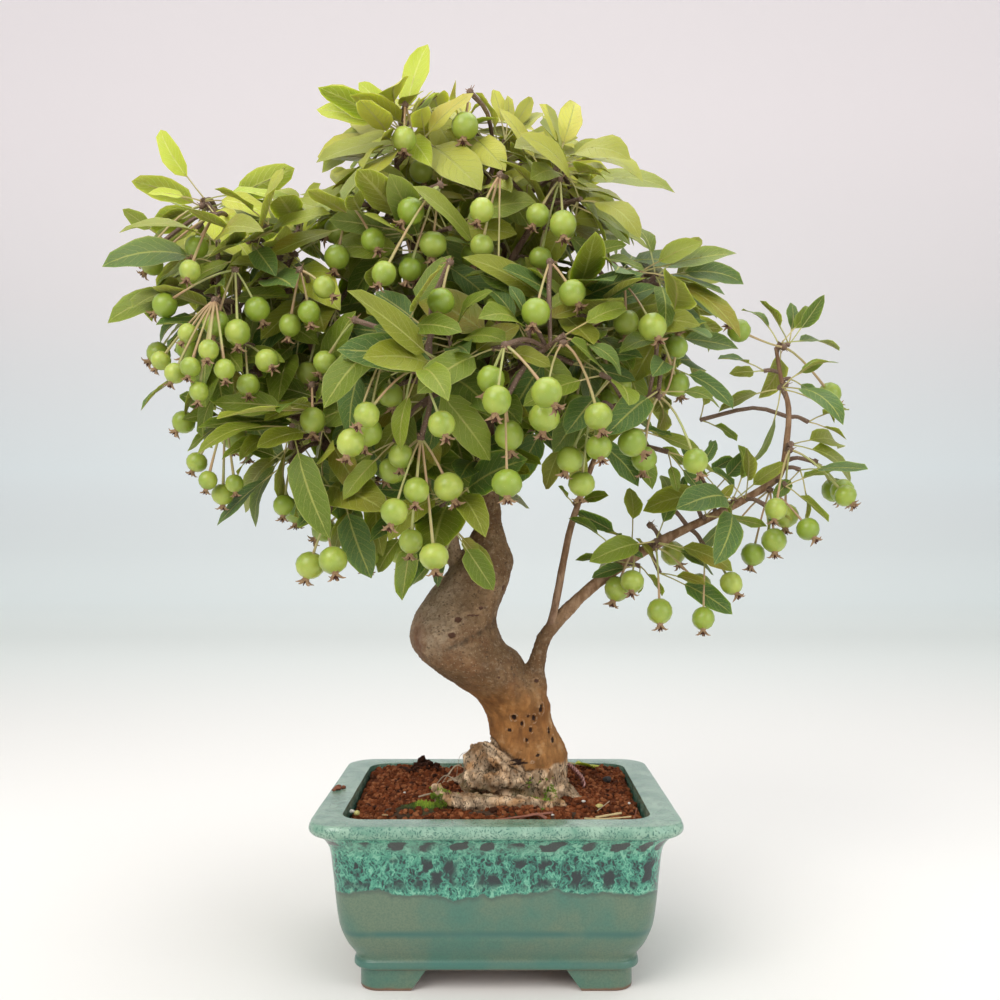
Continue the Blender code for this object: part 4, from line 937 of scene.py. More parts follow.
def newLeaf(draw, root, ahead, top, reach, young):
    petiole = min(crown["petiole"], 0.34 * reach) * draw.uniform(0.9, 1.15)
    length = reach - petiole
    return {
        "root": root, "ahead": ahead, "up": top, "petiole": petiole, "length": length * 1.06,
        "width": length * draw.uniform(0.235, 0.29),
        "arch": math.radians(draw.uniform(18, 50) + 26 * (1 - young)),
        "twist": math.radians(draw.uniform(-22, 22)),
        "wave": draw.uniform(0.5, 1.3), "phase": draw.uniform(0, math.tau), "young": young,
    }


def newFruit(draw, hub, heading, outward, spread):
    angle = math.radians(heading + draw.uniform(-spread, spread))
    depth = draw.uniform(-0.6, 0.6) + 0.25 * outward.y
    ahead = Vector((math.cos(angle), depth, math.sin(angle))).normalized()
    length = crown["stalkLength"] * draw.uniform(0.78, 1.12)
    start = Vector((ahead.x, ahead.y, min(0, 0.3 * ahead.z))).normalized()
    bend = hub + start * length * 0.3
    end = hub + ahead * length * 0.92 - up * length * 0.08
    axis = (end - bend).normalized()
    radius = crown["fruitRadius"] * draw.uniform(0.84, 1.06)
    centre = end + axis * radius * 0.85
    return {"hub": hub, "bend": bend, "end": end, "axis": axis, "radius": radius, "centre": centre}


def plainFruit(fruit, extra=0.0):
    hub, bend, end = fruit["hub"], fruit["bend"], fruit["end"]
    axis, radius, centre = fruit["axis"], fruit["radius"], fruit["centre"]
    stalk = crown["stalkRadius"] + extra
    ahead = (bend - hub).normalized()
    rows = (
        (hub + ahead * crown["hubRadius"] * 0.4, ahead, stalk),
        (hub.lerp(bend, 0.6).lerp(bend.lerp(end, 0.6), 0.6), end - hub, stalk),
        (end, axis, stalk),
        (centre - axis * radius * 0.32, axis, radius * 0.96 + extra),
        (centre + axis * radius * 0.36, axis, radius * 0.93 + extra),
        (centre + axis * radius * 0.94, axis, 1.7 + extra),
        (centre + axis * (radius + 3.2), axis, 3 + extra),
    )
    return loft(turnedRings(rows, 5))


class Room:
    # What is already placed, to keep what comes next clear of it

    def __init__(self):
        self.placed = []

    def measured(self, shape):
        points = shape[0]
        centre = sum(points, Vector()) / len(points)
        return centre, max((point - centre).length for point in points)

    def add(self, owner, kind, shape):
        centre, radius = self.measured(shape)
        self.placed.append((owner, kind, centre, radius, BVHTree.FromPolygons(*shape)))

    def isClear(self, shape, skip):
        centre, radius = self.measured(shape)
        tree = None
        for owner, kind, other, reach, otherTree in self.placed:
            if (owner, kind) in skip or (other - centre).length > radius + reach:
                continue
            tree = tree or BVHTree.FromPolygons(*shape)
            if tree.overlap(otherTree):
                return False
        return True


def twigRoute(index):
    limb, share, reach = twigs[index][:3]
    start, heading, radius = along(*limbRoute(limb), share)
    end = start + Vector(reach)
    bow = heading * Vector(reach).length * 0.25
    return [start, start.lerp(end, 0.5) + bow, end + bow * 0.4], [min(1.8, 0.9 * radius), 1.6, 2.2]


def shootsOf(index):
    return [shoot for shoot in shoots if shoot[0] == index]


def shootFrom(shoot):
    points = twigRoute(shoot[0])[0]
    start = points[-1].lerp(points[-2], 0.15)
    reach = Vector(shoot[1])
    bow = up * reach.length * 0.1
    return [start, start + reach / 2 + bow, start + reach], [1.6, 1.5, 1.8]


def hubPoint(index):
    points, radii = twigRoute(index)
    point, heading, radius = along(points, radii, 0.8)
    return point + squareTo(heading, -up) * (radius + 1.6)


def growBunch(room, number, index, headings):
    draw = random.Random(700 + number)
    hub = hubPoint(index)
    outward = Vector((hub.x, hub.y, 0)).normalized()
    owner = ("bunch", number)
    room.add(owner, "hub", plainBall(hub, crown["hubRadius"] + 0.4, 5, 4))
    fruits = []
    for heading in headings:
        for attempt in range(crown["fruitTries"]):
            fruit = newFruit(draw, hub, heading, outward, 6 + 1.5 * attempt)
            if room.isClear(plainFruit(fruit, 0.45), {(index, "twig"), (owner, "hub")}):
                fruits.append(fruit)
                room.add(owner, "fruit", plainFruit(fruit))
                break
    return fruits


def leafHeading(draw, outward, openSide, aimed, turn, spread):
    stray = strayFrom(draw)
    if aimed is None:
        rise = math.radians(draw.uniform(-48, 30))
        ahead = compass(turn) * math.cos(rise) + up * math.sin(rise) + 0.55 * outward
    else:
        angle = math.radians(aimed + draw.uniform(-4, 4))
        ahead = Vector((math.cos(angle), draw.uniform(-0.4, 0.2), math.sin(angle)))
    ahead = (ahead + spread * stray).normalized()
    skew = Vector((stray.y, stray.z, 0))
    face = 0.5 * up + 0.35 * outward + openSide * draw.uniform(0.1, 0.9) + 0.2 * skew
    return ahead, face.normalized()


def growSpray(room, index):
    aimed, more, young = twigs[index][3:]
    draw = random.Random(100 + index)
    leaves = growLeaves(room, index, draw, twigRoute(index), [*aimed, *[(None, None)] * more], young)
    for shoot in shootsOf(index):
        leaves += growLeaves(room, index, draw, shootFrom(shoot), [(None, None)] * shoot[2], young)
    return leaves


def sidesAt(point):
    # The ways out of the crown and to its nearer face
    nearer = -1 if point.y < crown["openFront"] else 1
    return Vector((point.x + 6, point.y, 0)).normalized(), Vector((0, nearer, 0))


def growLeaves(room, index, draw, route, wanted, young):
    points, radii = route
    outward, openSide = sidesAt(points[-1])
    own = {(index, "twig"), (index, "shoot")}
    leaves = []
    for number, (heading, reach) in enumerate(wanted):
        for attempt in range(crown["leafTries"]):
            centre, course, radius = along(points, radii, draw.uniform(0.6, 0.98))
            turn = math.radians(137.5 * (number + 0.37 * attempt) + 40 * index)
            ahead, face = leafHeading(draw, outward, openSide, heading, turn, 0.025 * attempt)
            root = centre + squareTo(course, ahead) * (radius - 0.9)
            size = reach or crown["leafReach"] * draw.uniform(0.85, 1.25)
            leaf = newLeaf(draw, root, ahead, face, size * (1 - 0.008 * attempt), young)
            thick = crown["thick"] + crown["margin"]
            if not room.isClear(plainLeaf(leaf, thick), own | {(index, "leaf")}):
                continue
            if room.isClear(plainLeaf(leaf, thick, 0.25), own):
                leaves.append(leaf)
                room.add(index, "leaf", plainLeaf(leaf, crown["thick"]))
                break
    return leaves


# Leaves

leafShape = {"across": 4, "along": 7, "thick": 0.45, "rib": 0.62}


def fineWidth(t):
    # The visible blade's outline is fuller towards its tip than the solid one's
    return 1.95 * t**0.55 * (1 - t) ** 0.74


def makeLeafTemplate():
    # Two sheets that share their rim, x across from -1 to 1 and y along from 0 to 1, and a rib
    bm = bmesh.new()
    uv = bm.loops.layers.uv.new("UVMap")
    upper = bmesh.ops.create_grid(bm, x_segments=leafShape["across"], y_segments=leafShape["along"], size=1)
    for vert in upper["verts"]:
        vert.co.y = (vert.co.y + 1) / 2
    for face in bm.faces:
        for loop in face.loops:
            loop[uv].uv = ((loop.vert.co.x + 1) / 2, loop.vert.co.y)
    lower = bmesh.ops.duplicate(bm, geom=bm.verts[:] + bm.edges[:] + bm.faces[:])["geom"]
    faces = [part for part in lower if isinstance(part, bmesh.types.BMFace)]
    bmesh.ops.reverse_faces(bm, faces=faces)
    for face in faces:
        face.material_index = 1
    for vert in vertsOf(lower):
        if abs(vert.co.x) < 0.99 and 0.01 < vert.co.y < 0.99:
            vert.co.z = -1
    for vert in bm.verts:
        if vert.co.y < 0.01 or vert.co.y > 0.99:
            vert.co.x = 0
    bmesh.ops.remove_doubles(bm, verts=bm.verts, dist=0.001)
    bm = fromMesh(toMesh(bm, "sheets"))
    rib = bm.verts.layers.float.new("rib")
    stations = [Vector((0, y, 0)) for y in (-1, -0.45, 0.02, 0.4, 0.75, 0.97)]
    verts = addTube(bm, stations, [1, 0.8, 0.9, 0.62, 0.4, 0.15], sides=3, materialIndex=2)
    for vert in verts:
        vert[rib] = 1
    return toMesh(bm, "leafTemplate")


def addLeaf(bm, template, leaf, draw):
    # Lays the template along one leaf's arch, folded up from the rib and waved at the rim
    layers = [bm.verts.layers.float[name] for name in ("shade", "young", "tint")]
    rib = bm.verts.layers.float["rib"]
    first = len(bm.verts)
    bm.from_mesh(template)
    bm.verts.ensure_lookup_table()
    values = (draw.random(), leaf["young"], draw.random())
    base = leafAxes(leaf)[3]
    frames = {}
    fold = draw.uniform(0.5, 1.5)
    teeth = draw.uniform(0.03, 0.07)
    for vert in bm.verts[first:]:
        u, t, layer = vert.co
        for slot, value in zip(layers, values):
            vert[slot] = value
        spot = round(t, 4)
        if spot not in frames:
            frames[spot] = bladeFrame(leaf, max(0, spot))
        centre, side, normal = frames[spot]
        if vert[rib]:
            middle = centre - normal * 0.75 if t > 0 else leaf["root"].lerp(base, 1 + t)
            ring = Vector((u, 0, layer)) * leafShape["rib"]
            vert.co = middle + side * ring.x + normal * ring.z
            continue
        half = leaf["width"] * fineWidth(min(t, 0.9999)) if t > 0 else 0
        jag = 1 + teeth * math.sin(31 * t + 3 * u + leaf["phase"]) * abs(u)
        swing = 9 * t if u > 0 else 8 * t + 2
        lift = leaf["wave"] * math.sin(swing + leaf["phase"])
        height = -0.6 + fold * abs(u) ** 1.4 + lift * u * u + layer * leafShape["thick"]
        vert.co = centre + side * half * u * jag + normal * height


def leafMesh(leaves, number):
    bm = bmesh.new()
    bm.loops.layers.uv.new("UVMap")
    for name in ("shade", "young", "tint", "rib"):
        bm.verts.layers.float.new(name)
    draw = random.Random(3000 + number)
    for leaf in leaves:
        addLeaf(bm, leafTemplate, leaf, draw)
    return bm


def veins(look, sharp):
    # A pale midrib, side veins that run out and forward, fine ones between them, and the rim
    spot = look.add("UVMap").outputs["UV"]
    u, v = look.axis("X", spot), look.axis("Y", spot)
    out = look.math("ABSOLUTE", look.less(u, 0.5))
    mid = look.between(out, 0.045 * sharp, 0.014 * sharp)
    wander = look.times(look.noise(9, 2, 0.5, spot), 0.06)
    climb = look.less(look.plus(v, wander), look.times(look.math("POWER", out, 1.25), 0.62))
    step = look.math("PINGPONG", look.times(climb, 8.5), 0.5)
    branch = look.times(look.between(step, 0.075 * sharp, 0.015), look.between(out, 0.49, 0.36))
    mesh = look.between(look.cells(26, "DISTANCE_TO_EDGE", look.stretched((0.55, 1, 1), spot)), 0.07, 0.0)
    rim = look.between(out, 0.468, 0.492)
    return mid, branch, mesh, rim


def leafLook(name, under, young):
    rough, shine = (0.62, 0.25) if under else (0.46, 0.36)
    soft = {"Subsurface_Weight": 0.35, "Subsurface_Radius": (0.7, 1.0, 0.15), "Subsurface_Scale": 0.0012}
    look = Surface(name, rough, Specular_IOR_Level=shine, **soft)
    shade, tint = look.attribute("shade"), look.attribute("tint")
    mid, branch, mesh, rim = veins(look, 1.5 if under else 1.0)
    cloud = look.noise(95, 3, 0.6)
    felt = look.noise(1100, 3, 0.6)
    if young:
        low, high = (0.36, 0.45, 0.03), (0.58, 0.62, 0.06)
        if under:
            low, high = (0.36, 0.41, 0.05), (0.52, 0.54, 0.10)
        flat = look.mix(shade, low, high)
        vein = (0.66, 0.70, 0.20)
    elif under:
        flat = look.mix(shade, (0.20, 0.21, 0.030), (0.40, 0.38, 0.075))
        vein = (0.50, 0.48, 0.14)
    else:
        flat = look.mix(shade, (0.062, 0.115, 0.008), (0.22, 0.27, 0.015))
        flat = look.mix(look.between(tint, 0.36, 0.26), flat, (0.065, 0.135, 0.030))
        flat = look.veil(look.between(tint, 0.62, 0.8), 0.6, flat, (0.30, 0.28, 0.024))
        vein = (0.37, 0.385, 0.085)
    flat = look.veil(cloud, 0.4, flat, (0.13, 0.185, 0.012) if not young else (0.40, 0.47, 0.03))
    # leaves high in the crown are made paler: partly the paler young growth there, partly a painted highlight
    # from the light above
    if not young:
        high = look.times(look.between(look.axis("Z"), 0.42, 0.575), look.between(shade, -1.0, 1.0))
        flat = look.mix(high, flat, (0.62, 0.59, 0.09))
    warm = look.times(look.between(tint, 0.86, 0.95), look.clouds(0.45, 0.65, 40, 2))
    flat = look.veil(warm, 0.5 if under else 0.25, flat, (0.36, 0.13, 0.03))
    onMesh, onBranch = (0.28, 0.65) if under else (0.2, 0.45)
    for mask, share in ((mesh, onMesh), (branch, onBranch), (rim, 0.6), (mid, 0.8)):
        flat = look.veil(mask, share, flat, vein)
    height = look.plus(look.times(branch, 0.7), look.times(mid, 0.5))
    height = look.plus(height, look.times(mesh, 0.25))
    if under:
        height = look.plus(height, look.times(felt, 0.35))
    else:
        height = look.less(look.times(cloud, 0.5), height)
    return look.finish(flat, height, 0.0006, 0.6)


def petioleLook():
    look = Surface("petiole", 0.5)
    shade = look.attribute("shade")
    flat = look.mix(shade, (0.42, 0.46, 0.14), (0.52, 0.42, 0.17))
    flat = look.veil(look.noise(200, 3), 0.4, flat, (0.36, 0.24, 0.11))
    return look.finish(flat, look.noise(900, 3), 0.0003, 0.4)


def twigLook():
    look = Surface("twig", 0.72)
    grain = look.noise(320, 4, 0.6)
    flat = look.mix(look.noise(110, 3), (0.115, 0.058, 0.036), (0.25, 0.155, 0.10))
    flat = look.mix(look.between(look.cells(700), 0.3, 0.1), flat, (0.42, 0.33, 0.24))
    flat = look.veil(grain, 0.4, flat, (0.06, 0.04, 0.028))
    return look.finish(flat, grain, 0.0006, 0.7)


def makeSprays(sprays):
    for index, leaves in enumerate(sprays):
        bm = leafMesh(leaves, index)
        for points, radii in [twigRoute(index)] + [shootFrom(shoot) for shoot in shootsOf(index)]:
            course, widths = smoothRoute([(*point, 2 * radius) for point, radius in zip(points, radii)], 4)
            knobby = [width * (1 + 0.2 * math.sin(5.1 * i)) for i, width in enumerate(widths)]
            addTube(bm, course, knobby, 7, 3, 0.12)
        faces, slot = ("youngUpper", "youngUnder"), "young_leaf"
        if twigs[index][5] <= 0.8:
            faces, slot = ("upper", "under"), "leaf"
        looks = [leafLooks[kind] for kind in (*faces, "petiole", "twig")]
        makePiece(f"leaves_{index + 1:02d}", bm, looks, [f"spray_{index + 1:02d}"])
    print("leaves", sum(len(leaves) for leaves in sprays))


# Fruits

fruitProfile = (  # from the stalk's dimple to the calyx, in radii: distance from the axis, place along it
    (0, -0.84), (0.14, -0.90), (0.42, -0.88), (0.76, -0.64), (0.97, -0.20), (0.98, 0.22), (0.80, 0.62),
    (0.50, 0.86), (0.27, 0.95), (0.21, 1.04), (0.27, 1.17), (0.15, 1.24), (0, 1.22),
)


spur = {"radius": 2.3, "bristles": 5, "bristleLength": (1.5, 3.5)}


def makeFruitTemplate():
    # A turned fruit, with its dry calyx: a ring, five sepals bent out and a tuft
    def place(share, row):
        out, rise = fruitProfile[row]
        lobes = 0.05 * math.cos(math.tau * share * 5) * softStep(0.5, 0.9, rise)
        return Vector((out * math.cos(math.tau * share), out * math.sin(math.tau * share), rise - lobes))

    bm = bmesh.new()
    rollGrid(bm, 12, len(fruitProfile), place)
    for face in bm.faces:
        face.material_index = 1 if face.calc_center_median().z > 0.98 else 0
    bm = fromMesh(toMesh(bm, "skin"))
    for turn in range(5):
        angle = math.tau * (turn + 0.3) / 5
        flat = compass(angle)
        sepal = ((1.1, 0.14), (1.32, 0.28), (1.42, 0.46), (1.34 + 0.09 * (turn % 3), 0.68))
        points = [up * rise + flat * out for rise, out in sepal]
        addTube(bm, points, [0.09, 0.12, 0.08, 0.02], 3, 1)
    for turn in range(5):
        angle = math.tau * turn / 5
        tip = up * (1.50 + 0.07 * (turn % 2)) + compass(angle) * 0.20
        addTube(bm, [up * 1.16, tip], [0.11, 0.03], 3, 2)
    return toMesh(bm, "fruitTemplate")


def addFruit(bm, template, fruit, draw):
    shade = bm.verts.layers.float["shade"]
    ripe = draw.random()
    axis, radius = fruit["axis"], fruit["radius"]
    side = axis.orthogonal().normalized()
    side.rotate(Matrix.Rotation(draw.uniform(0, math.tau), 3, axis))
    across = axis.cross(side)
    first = len(bm.verts)
    bm.from_mesh(template)
    bm.verts.ensure_lookup_table()
    wide, long = draw.uniform(0.96, 1.06), draw.uniform(0.94, 1.03)
    for vert in bm.verts[first:]:
        x, y, z = vert.co
        lump = 1 + 0.025 * noise.noise(fruit["centre"] * 0.3 + vert.co * 1.4)
        vert.co = fruit["centre"] + radius * (wide * lump * (x * side + y * across) + long * z * axis)
        vert[shade] = ripe
    first = len(bm.verts)
    hub, bend, end = fruit["hub"], fruit["bend"], fruit["end"] + axis * radius * 0.1
    course = [hub.lerp(bend, t).lerp(bend.lerp(end, t), t) for t in (0, 0.12, 0.3, 0.5, 0.7, 0.88, 1)]
    slim = draw.uniform(0.6, 0.78)
    addTube(bm, course, [1.0, slim * 1.1, slim, slim, slim, slim * 1.15, slim * 1.3], 6, 3)
    for vert in bm.verts[first:]:
        vert[shade] = ripe


def fruitBunchMesh(fruits, number):
    bm = bmesh.new()
    bm.verts.layers.float.new("shade")
    draw = random.Random(5000 + number)
    for fruit in fruits:
        addFruit(bm, fruitTemplate, fruit, draw)
    return bm


def addHub(bm, hub, draw):
    # A knobbed spur end with dry remains of the flowers
    radius = spur["radius"]
    made = bmesh.ops.create_icosphere(bm, subdivisions=2, radius=radius)["verts"]
    for vert in made:
        vert.co = hub + vert.co * (1 + 0.25 * noise.noise(hub + vert.co * 0.9))
    for face in {face for vert in made for face in vert.link_faces}:
        face.material_index = 4
    for bristle in range(spur["bristles"]):
        ahead = strayFrom(draw).normalized()
        tip = hub + ahead * (radius + draw.uniform(*spur["bristleLength"]))
        addTube(bm, [hub + ahead * radius * 0.6, tip], [0.5, 0.15], 3, 1)


def fruitLook():
    # Light green, darker in soft patches, with fine pale dots
    soft = {"Subsurface_Weight": 0.12, "Subsurface_Scale": 0.004, "Coat_Weight": 0.15, "Coat_Roughness": 0.25}
    look = Surface("fruitSkin", 0.36, **soft)
    shade = look.attribute("shade")
    patch = look.noise(75, 3, 0.5)
    dots = look.between(look.cells(640), 0.16, 0.06)
    flat = look.mix(shade, (0.25, 0.345, 0.030), (0.42, 0.49, 0.080))
    flat = look.veil(look.between(patch, 0.42, 0.66), 0.6, flat, (0.20, 0.29, 0.028))
    flat = look.veil(dots, 0.35, flat, (0.58, 0.62, 0.24))
    return look.finish(flat, look.noise(600, 3), 0.0003, 0.25)


def plainLook(name, low, high, roughness, scale):
    # Two colours mixed by noise, with a darker grain and a fine relief
    look = Surface(name, roughness)
    fine = look.noise(scale * 3.1, 3, 0.6)
    flat = look.mix(look.noise(scale, 4, 0.6), low, high)
    flat = look.veil(look.between(fine, 0.5, 0.7), 0.4, flat, tuple(0.4 * part for part in low))
    return look.finish(flat, fine, 0.0004, 0.6)


def stalkLook():
    look = Surface("stalk", 0.45)
    flat = look.mix(look.clouds(0.35, 0.65, 30, 2), (0.42, 0.47, 0.15), (0.50, 0.30, 0.17))
    flat = look.veil(look.noise(420, 3), 0.3, flat, (0.28, 0.20, 0.09))
    return look.finish(flat, look.noise(800, 2), 0.0003, 0.4)


def makeBunches(grown):
    for number, fruits in enumerate(grown):
        bm = fruitBunchMesh(fruits, number)
        addHub(bm, hubPoint(bunches[number][0]), random.Random(60 + number))
        makePiece(f"bunch_{number + 1:02d}", bm, fruitLooks, [f"fruits_{number + 1:02d}"])
    print("fruits", sum(len(fruits) for fruits in grown))


leafTemplate = makeLeafTemplate()
fruitTemplate = makeFruitTemplate()
leafLooks = {
    "upper": leafLook("leafUpper", False, False), "under": leafLook("leafUnder", True, False),
    "youngUpper": leafLook("youngUpper", False, True), "youngUnder": leafLook("youngUnder", True, True),
    "petiole": petioleLook(), "twig": twigLook(),
}
fruitLooks = [
    fruitLook(), plainLook("calyx", (0.22, 0.11, 0.055), (0.46, 0.31, 0.17), 0.8, 300),
    plainLook("tuft", (0.045, 0.018, 0.010), (0.15, 0.055, 0.030), 0.9, 400), stalkLook(), leafLooks["twig"],
]


def growCrown():
    # The solids' own twigs, bunches and leaves, in the same order as they are drawn there
    room, spare = Room(), crown["woodSpare"]
    for shape in plainWood(spare):
        room.add(None, "wood", shape)
    routes = [(index, "twig", twigRoute(index)) for index in range(len(twigs))]
    routes += [(shoot[0], "shoot", shootFrom(shoot)) for shoot in shoots]
    for index, kind, (points, radii) in routes:
        room.add(index, kind, plainTube(points, [radius + spare for radius in radii], 3))
    grown = [growBunch(room, number, *bunch) for number, bunch in enumerate(bunches)]
    sprays = [growSpray(room, index) for index in range(len(twigs))]
    makeSprays(sprays)
    makeBunches(grown)
    return room


# More leaves and fruits, placed clear of the solids' own

view = {  # the photo's camera: its place, its axis in pixels, how far off it is, and pixels to a slope of 1
    "middleX": 2.2, "middleZ": 265.7, "axisX": 500, "axisY": 545, "distance": 697.5, "scale": 1055,
}
extras = {
    "aimedTries": 24, "shootTries": 30, "leafTries": 14, "leavesToShoot": 6, "longestLeaf": 74,
    "shortestShoot": 9, "longestShoot": 46, "shootsToPiece": 34, "woodAbove": 270,
    "fruitBehind": 20, "fruitNear": 60,  # in mm and in pixels: the fruits that a leaf could hide
}
sprigs = (  # where leaves part in the photo, in pixels, how far back, how young, and the leaves' tips
    ((401, 130), -14, 1, ((356, 86), (430, 93), (320, 97))),
    ((396, 163), -12, 0.3, ((345, 142), (327, 165))),
    ((462, 130), 0, 0.3, ((442, 84), (434, 109), (482, 92))),
    ((505, 140), 4, 0.3, ((496, 89), (539, 99), (515, 96))),
    ((555, 169), -10, 0.2, ((551, 110), (616, 156), (604, 172), (625, 239))),
    ((481, 195), -36, 0, ((405, 150), (532, 177), (452, 158))),
    ((300, 230), -18, 0, ((354, 212), (340, 245), (313, 182))),
    ((268, 225), -24, 0.9, ((220, 187), (272, 162), (198, 226))),
    ((165, 240), -16, 0.1, ((122, 217), (127, 251), (122, 269))),
    ((190, 290), -22, 0, ((140, 308), (150, 285))),
    ((245, 300), -30, 0, ((305, 350), (262, 262))),
    ((235, 415), -22, 0, ((186, 425), (192, 453), (180, 405))),
    ((394, 442), -66, 0, ((333, 487), (350, 500))),
    ((366, 350), -78, 0, ((316, 398), (344, 434))),
    ((432, 333), -88, 0, ((403, 384), (372, 300))),
    ((415, 520), -58, 0, ((404, 596), (380, 575))),
    ((289, 462), -42, 0, ((229, 530), (243, 453))),
    ((341, 490), -48, 0, ((255, 578), (303, 528), (360, 574))),
    ((452, 527), -62, 0, ((484, 591), (475, 560))),
    ((492, 349), -96, 0, ((430, 395), (545, 370))),
    ((533, 326), -92, 0, ((510, 289), (588, 310))),
    ((573, 364), -66, 0, ((629, 389), (640, 360))),
    ((582, 257), -60, 0, ((641, 273), (625, 250))),
    ((566, 203), -34, 0, ((627, 240), (610, 205))),
    ((640, 272), -48, 0, ((733, 266), (720, 298), (700, 250))),
    ((658, 337), -48, 0, ((733, 357), (705, 330))),
    ((700, 420), 14, 0, ((714, 380), (735, 440))),
    ((789, 345), 0, 0.4, ((831, 301), (765, 300), (800, 300))),
    ((764, 371), 0, 0.2, ((722, 358), (735, 380))),
    ((790, 379), 0, 0.3, ((825, 365), (820, 400))),
    ((808, 422), 2, 0.2, ((851, 411), (845, 440))),
    ((800, 470), 0, 0, ((812, 521), (780, 500), (868, 484))),
    ((745, 500), 4, 0, ((760, 455), (715, 470))),
    ((693, 475), -10, 0, ((723, 446), (665, 450))),
    ((716, 489), 2, 0, ((754, 457), (690, 460), (735, 530))),
    ((660, 573), 0, 0, ((724, 618), (700, 590), (640, 540))),
    ((610, 545), -6, 0, ((573, 519), (640, 560))),
    ((674, 510), 2, 0, ((660, 476), (648, 500), (690, 480))),
    ((632, 542), 0, 0.1, ((574, 521), (636, 486), (606, 533))),
    ((640, 566), -2, 0.2, ((579, 565), (596, 580), (640, 592), (662, 594))),
    ((706, 516), -4, 0, ((763, 534), (740, 490), (690, 470))),
    ((765, 505), -6, 0, ((789, 522), (772, 538))),
    ((786, 486), -4, 0, ((824, 522), (835, 470))),
    ((573, 504), 0, 0.2, ((605, 499), (560, 490))),
    ((700, 478), 8, 0, ((720, 441), (735, 462), (680, 445))),
    ((630, 428), -40, 0, ((697, 461), (650, 488), (668, 440))),
    ((668, 452), -20, 0, ((676, 490), (700, 500), (712, 474))),
)
clusters = (  # where fruits part in the photo, in pixels, how far back, their middles, and size where small
    ((405, 105), -42, ((405, 140), (420, 171))), ((470, 92), -30, ((465, 126),)),
    ((440, 185), -70, ((411, 211), (433, 244), (410, 269), (389, 273))),
    ((500, 175), -70, ((482, 210), (482, 246), (498, 309))),
    ((560, 180), -56, ((538, 215), (563, 224), (539, 256))), ((350, 205), -48, ((373, 240), (337, 257))),
    ((450, 262), -92, ((441, 301),)), ((550, 262), -88, ((571, 292), (536, 312))),
    ((625, 285), -72, ((626, 322), (653, 326))), ((505, 345), -120, ((491, 379), (498, 399), (547, 393))),
    ((385, 352), -102, ((391, 394), (367, 432), (351, 443))),
    ((505, 400), -108, ((509, 435), (507, 483))),
    ((590, 415), -88, ((570, 459), (581, 484), (599, 446), (632, 442))),
    ((655, 325), -72, ((661, 359), (675, 388))),
    ((215, 215), -58, ((196, 248), (153, 265), (197, 275)), 0.85),
    ((235, 270), -76, ((165, 305), (257, 309), (216, 323), (237, 331)), 0.92),
    ((300, 270), -74, ((290, 325), (309, 312), (324, 287)), 0.92),
    ((215, 300), -84, ((188, 333), (185, 347), (208, 351), (162, 361), (175, 373), (190, 368), (225, 369),
                       (194, 387)), 0.76),
    ((245, 345), -66, ((249, 384), (268, 362)), 0.85),
    ((225, 420), -52, ((197, 462), (208, 480), (223, 494), (233, 484)), 0.78),
    ((355, 320), -84, ((325, 362),), 0.95), ((312, 385), -66, ((312, 419),)),
    ((325, 525), -70, ((310, 565), (333, 560))),
    ((421, 438), -92, ((388, 473), (416, 490), (448, 486), (397, 511), (411, 541), (434, 556))),
    ((785, 385), -2, ((804, 412),)), ((770, 490), 2, ((723, 542), (753, 554), (774, 540), (807, 528))),
    ((815, 462), 2, ((843, 492), (836, 487))), ((705, 548), 0, ((700, 614), (731, 583))),
    ((650, 525), 0, ((675, 556),)), ((636, 545), -4, ((618, 589), (631, 580))),
)
outline = (  # the dense crown's edge in the photo, in pixels, that the leaves placed by rule stay inside
    (330, 92), (356, 74), (400, 66), (432, 90), (480, 92), (540, 98), (582, 112), (612, 152), (628, 200),
    (640, 245), (700, 255), (728, 272), (700, 300), (725, 335), (720, 362), (660, 372), (650, 405),
    (612, 425), (590, 450), (545, 462), (505, 500), (484, 585), (455, 560), (404, 590), (360, 574),
    (330, 520), (255, 574), (235, 528), (262, 480), (243, 450), (196, 455), (186, 425), (200, 400),
    (170, 380), (160, 330), (140, 308), (127, 270), (125, 217), (170, 190), (150, 132), (205, 165),
    (250, 165), (300, 170), (320, 150),
)
pads = (  # where shoots are placed by rule: middle and reach in pixels, nearest and farthest depth, shoots
    ((420, 130), (70, 45), -40, 40, 7), ((530, 150), (60, 50), -45, 50, 7),
    ((470, 220), (110, 60), -85, 90, 16), ((590, 270), (80, 60), -70, 90, 11),
    ((300, 230), (110, 60), -60, 90, 13), ((200, 270), (55, 70), -50, 40, 9),
    ((400, 330), (110, 80), -110, 110, 20), ((540, 350), (90, 70), -105, 100, 13),
    ((260, 380), (70, 70), -60, 80, 10), ((350, 450), (70, 70), -80, 60, 10),
    ((440, 450), (50, 70), -80, 40, 6), ((640, 350), (60, 50), -60, 90, 6),
)


def fromPhoto(spot, y):
    scale = (view["distance"] + y) / view["scale"]
    across, rise = (spot[0] - view["axisX"]) * scale, (view["axisY"] - spot[1]) * scale
    return Vector((view["middleX"] + across, y, view["middleZ"] + rise))


def toPhoto(point):
    scale = view["scale"] / (view["distance"] + point.y)
    across, rise = (point.x - view["middleX"]) * scale, (point.z - view["middleZ"]) * scale
    return view["axisX"] + across, view["axisY"] - rise


def isInside(spot, corners):
    within = False
    for (ax, ay), (bx, by) in zip(corners, corners[1:] + corners[:1]):
        if (ay > spot[1]) != (by > spot[1]) and spot[0] < ax + (spot[1] - ay) * (bx - ax) / (by - ay):
            within = not within
    return within


def isBoxed(point, spare=1.5):
    # Whether a point is inside the solids' own box
    low, high = (Vector(side) / mm for side in (cadBox[0], cadBox[1]))
    return all(low[i] + spare < point[i] < high[i] - spare for i in range(3))


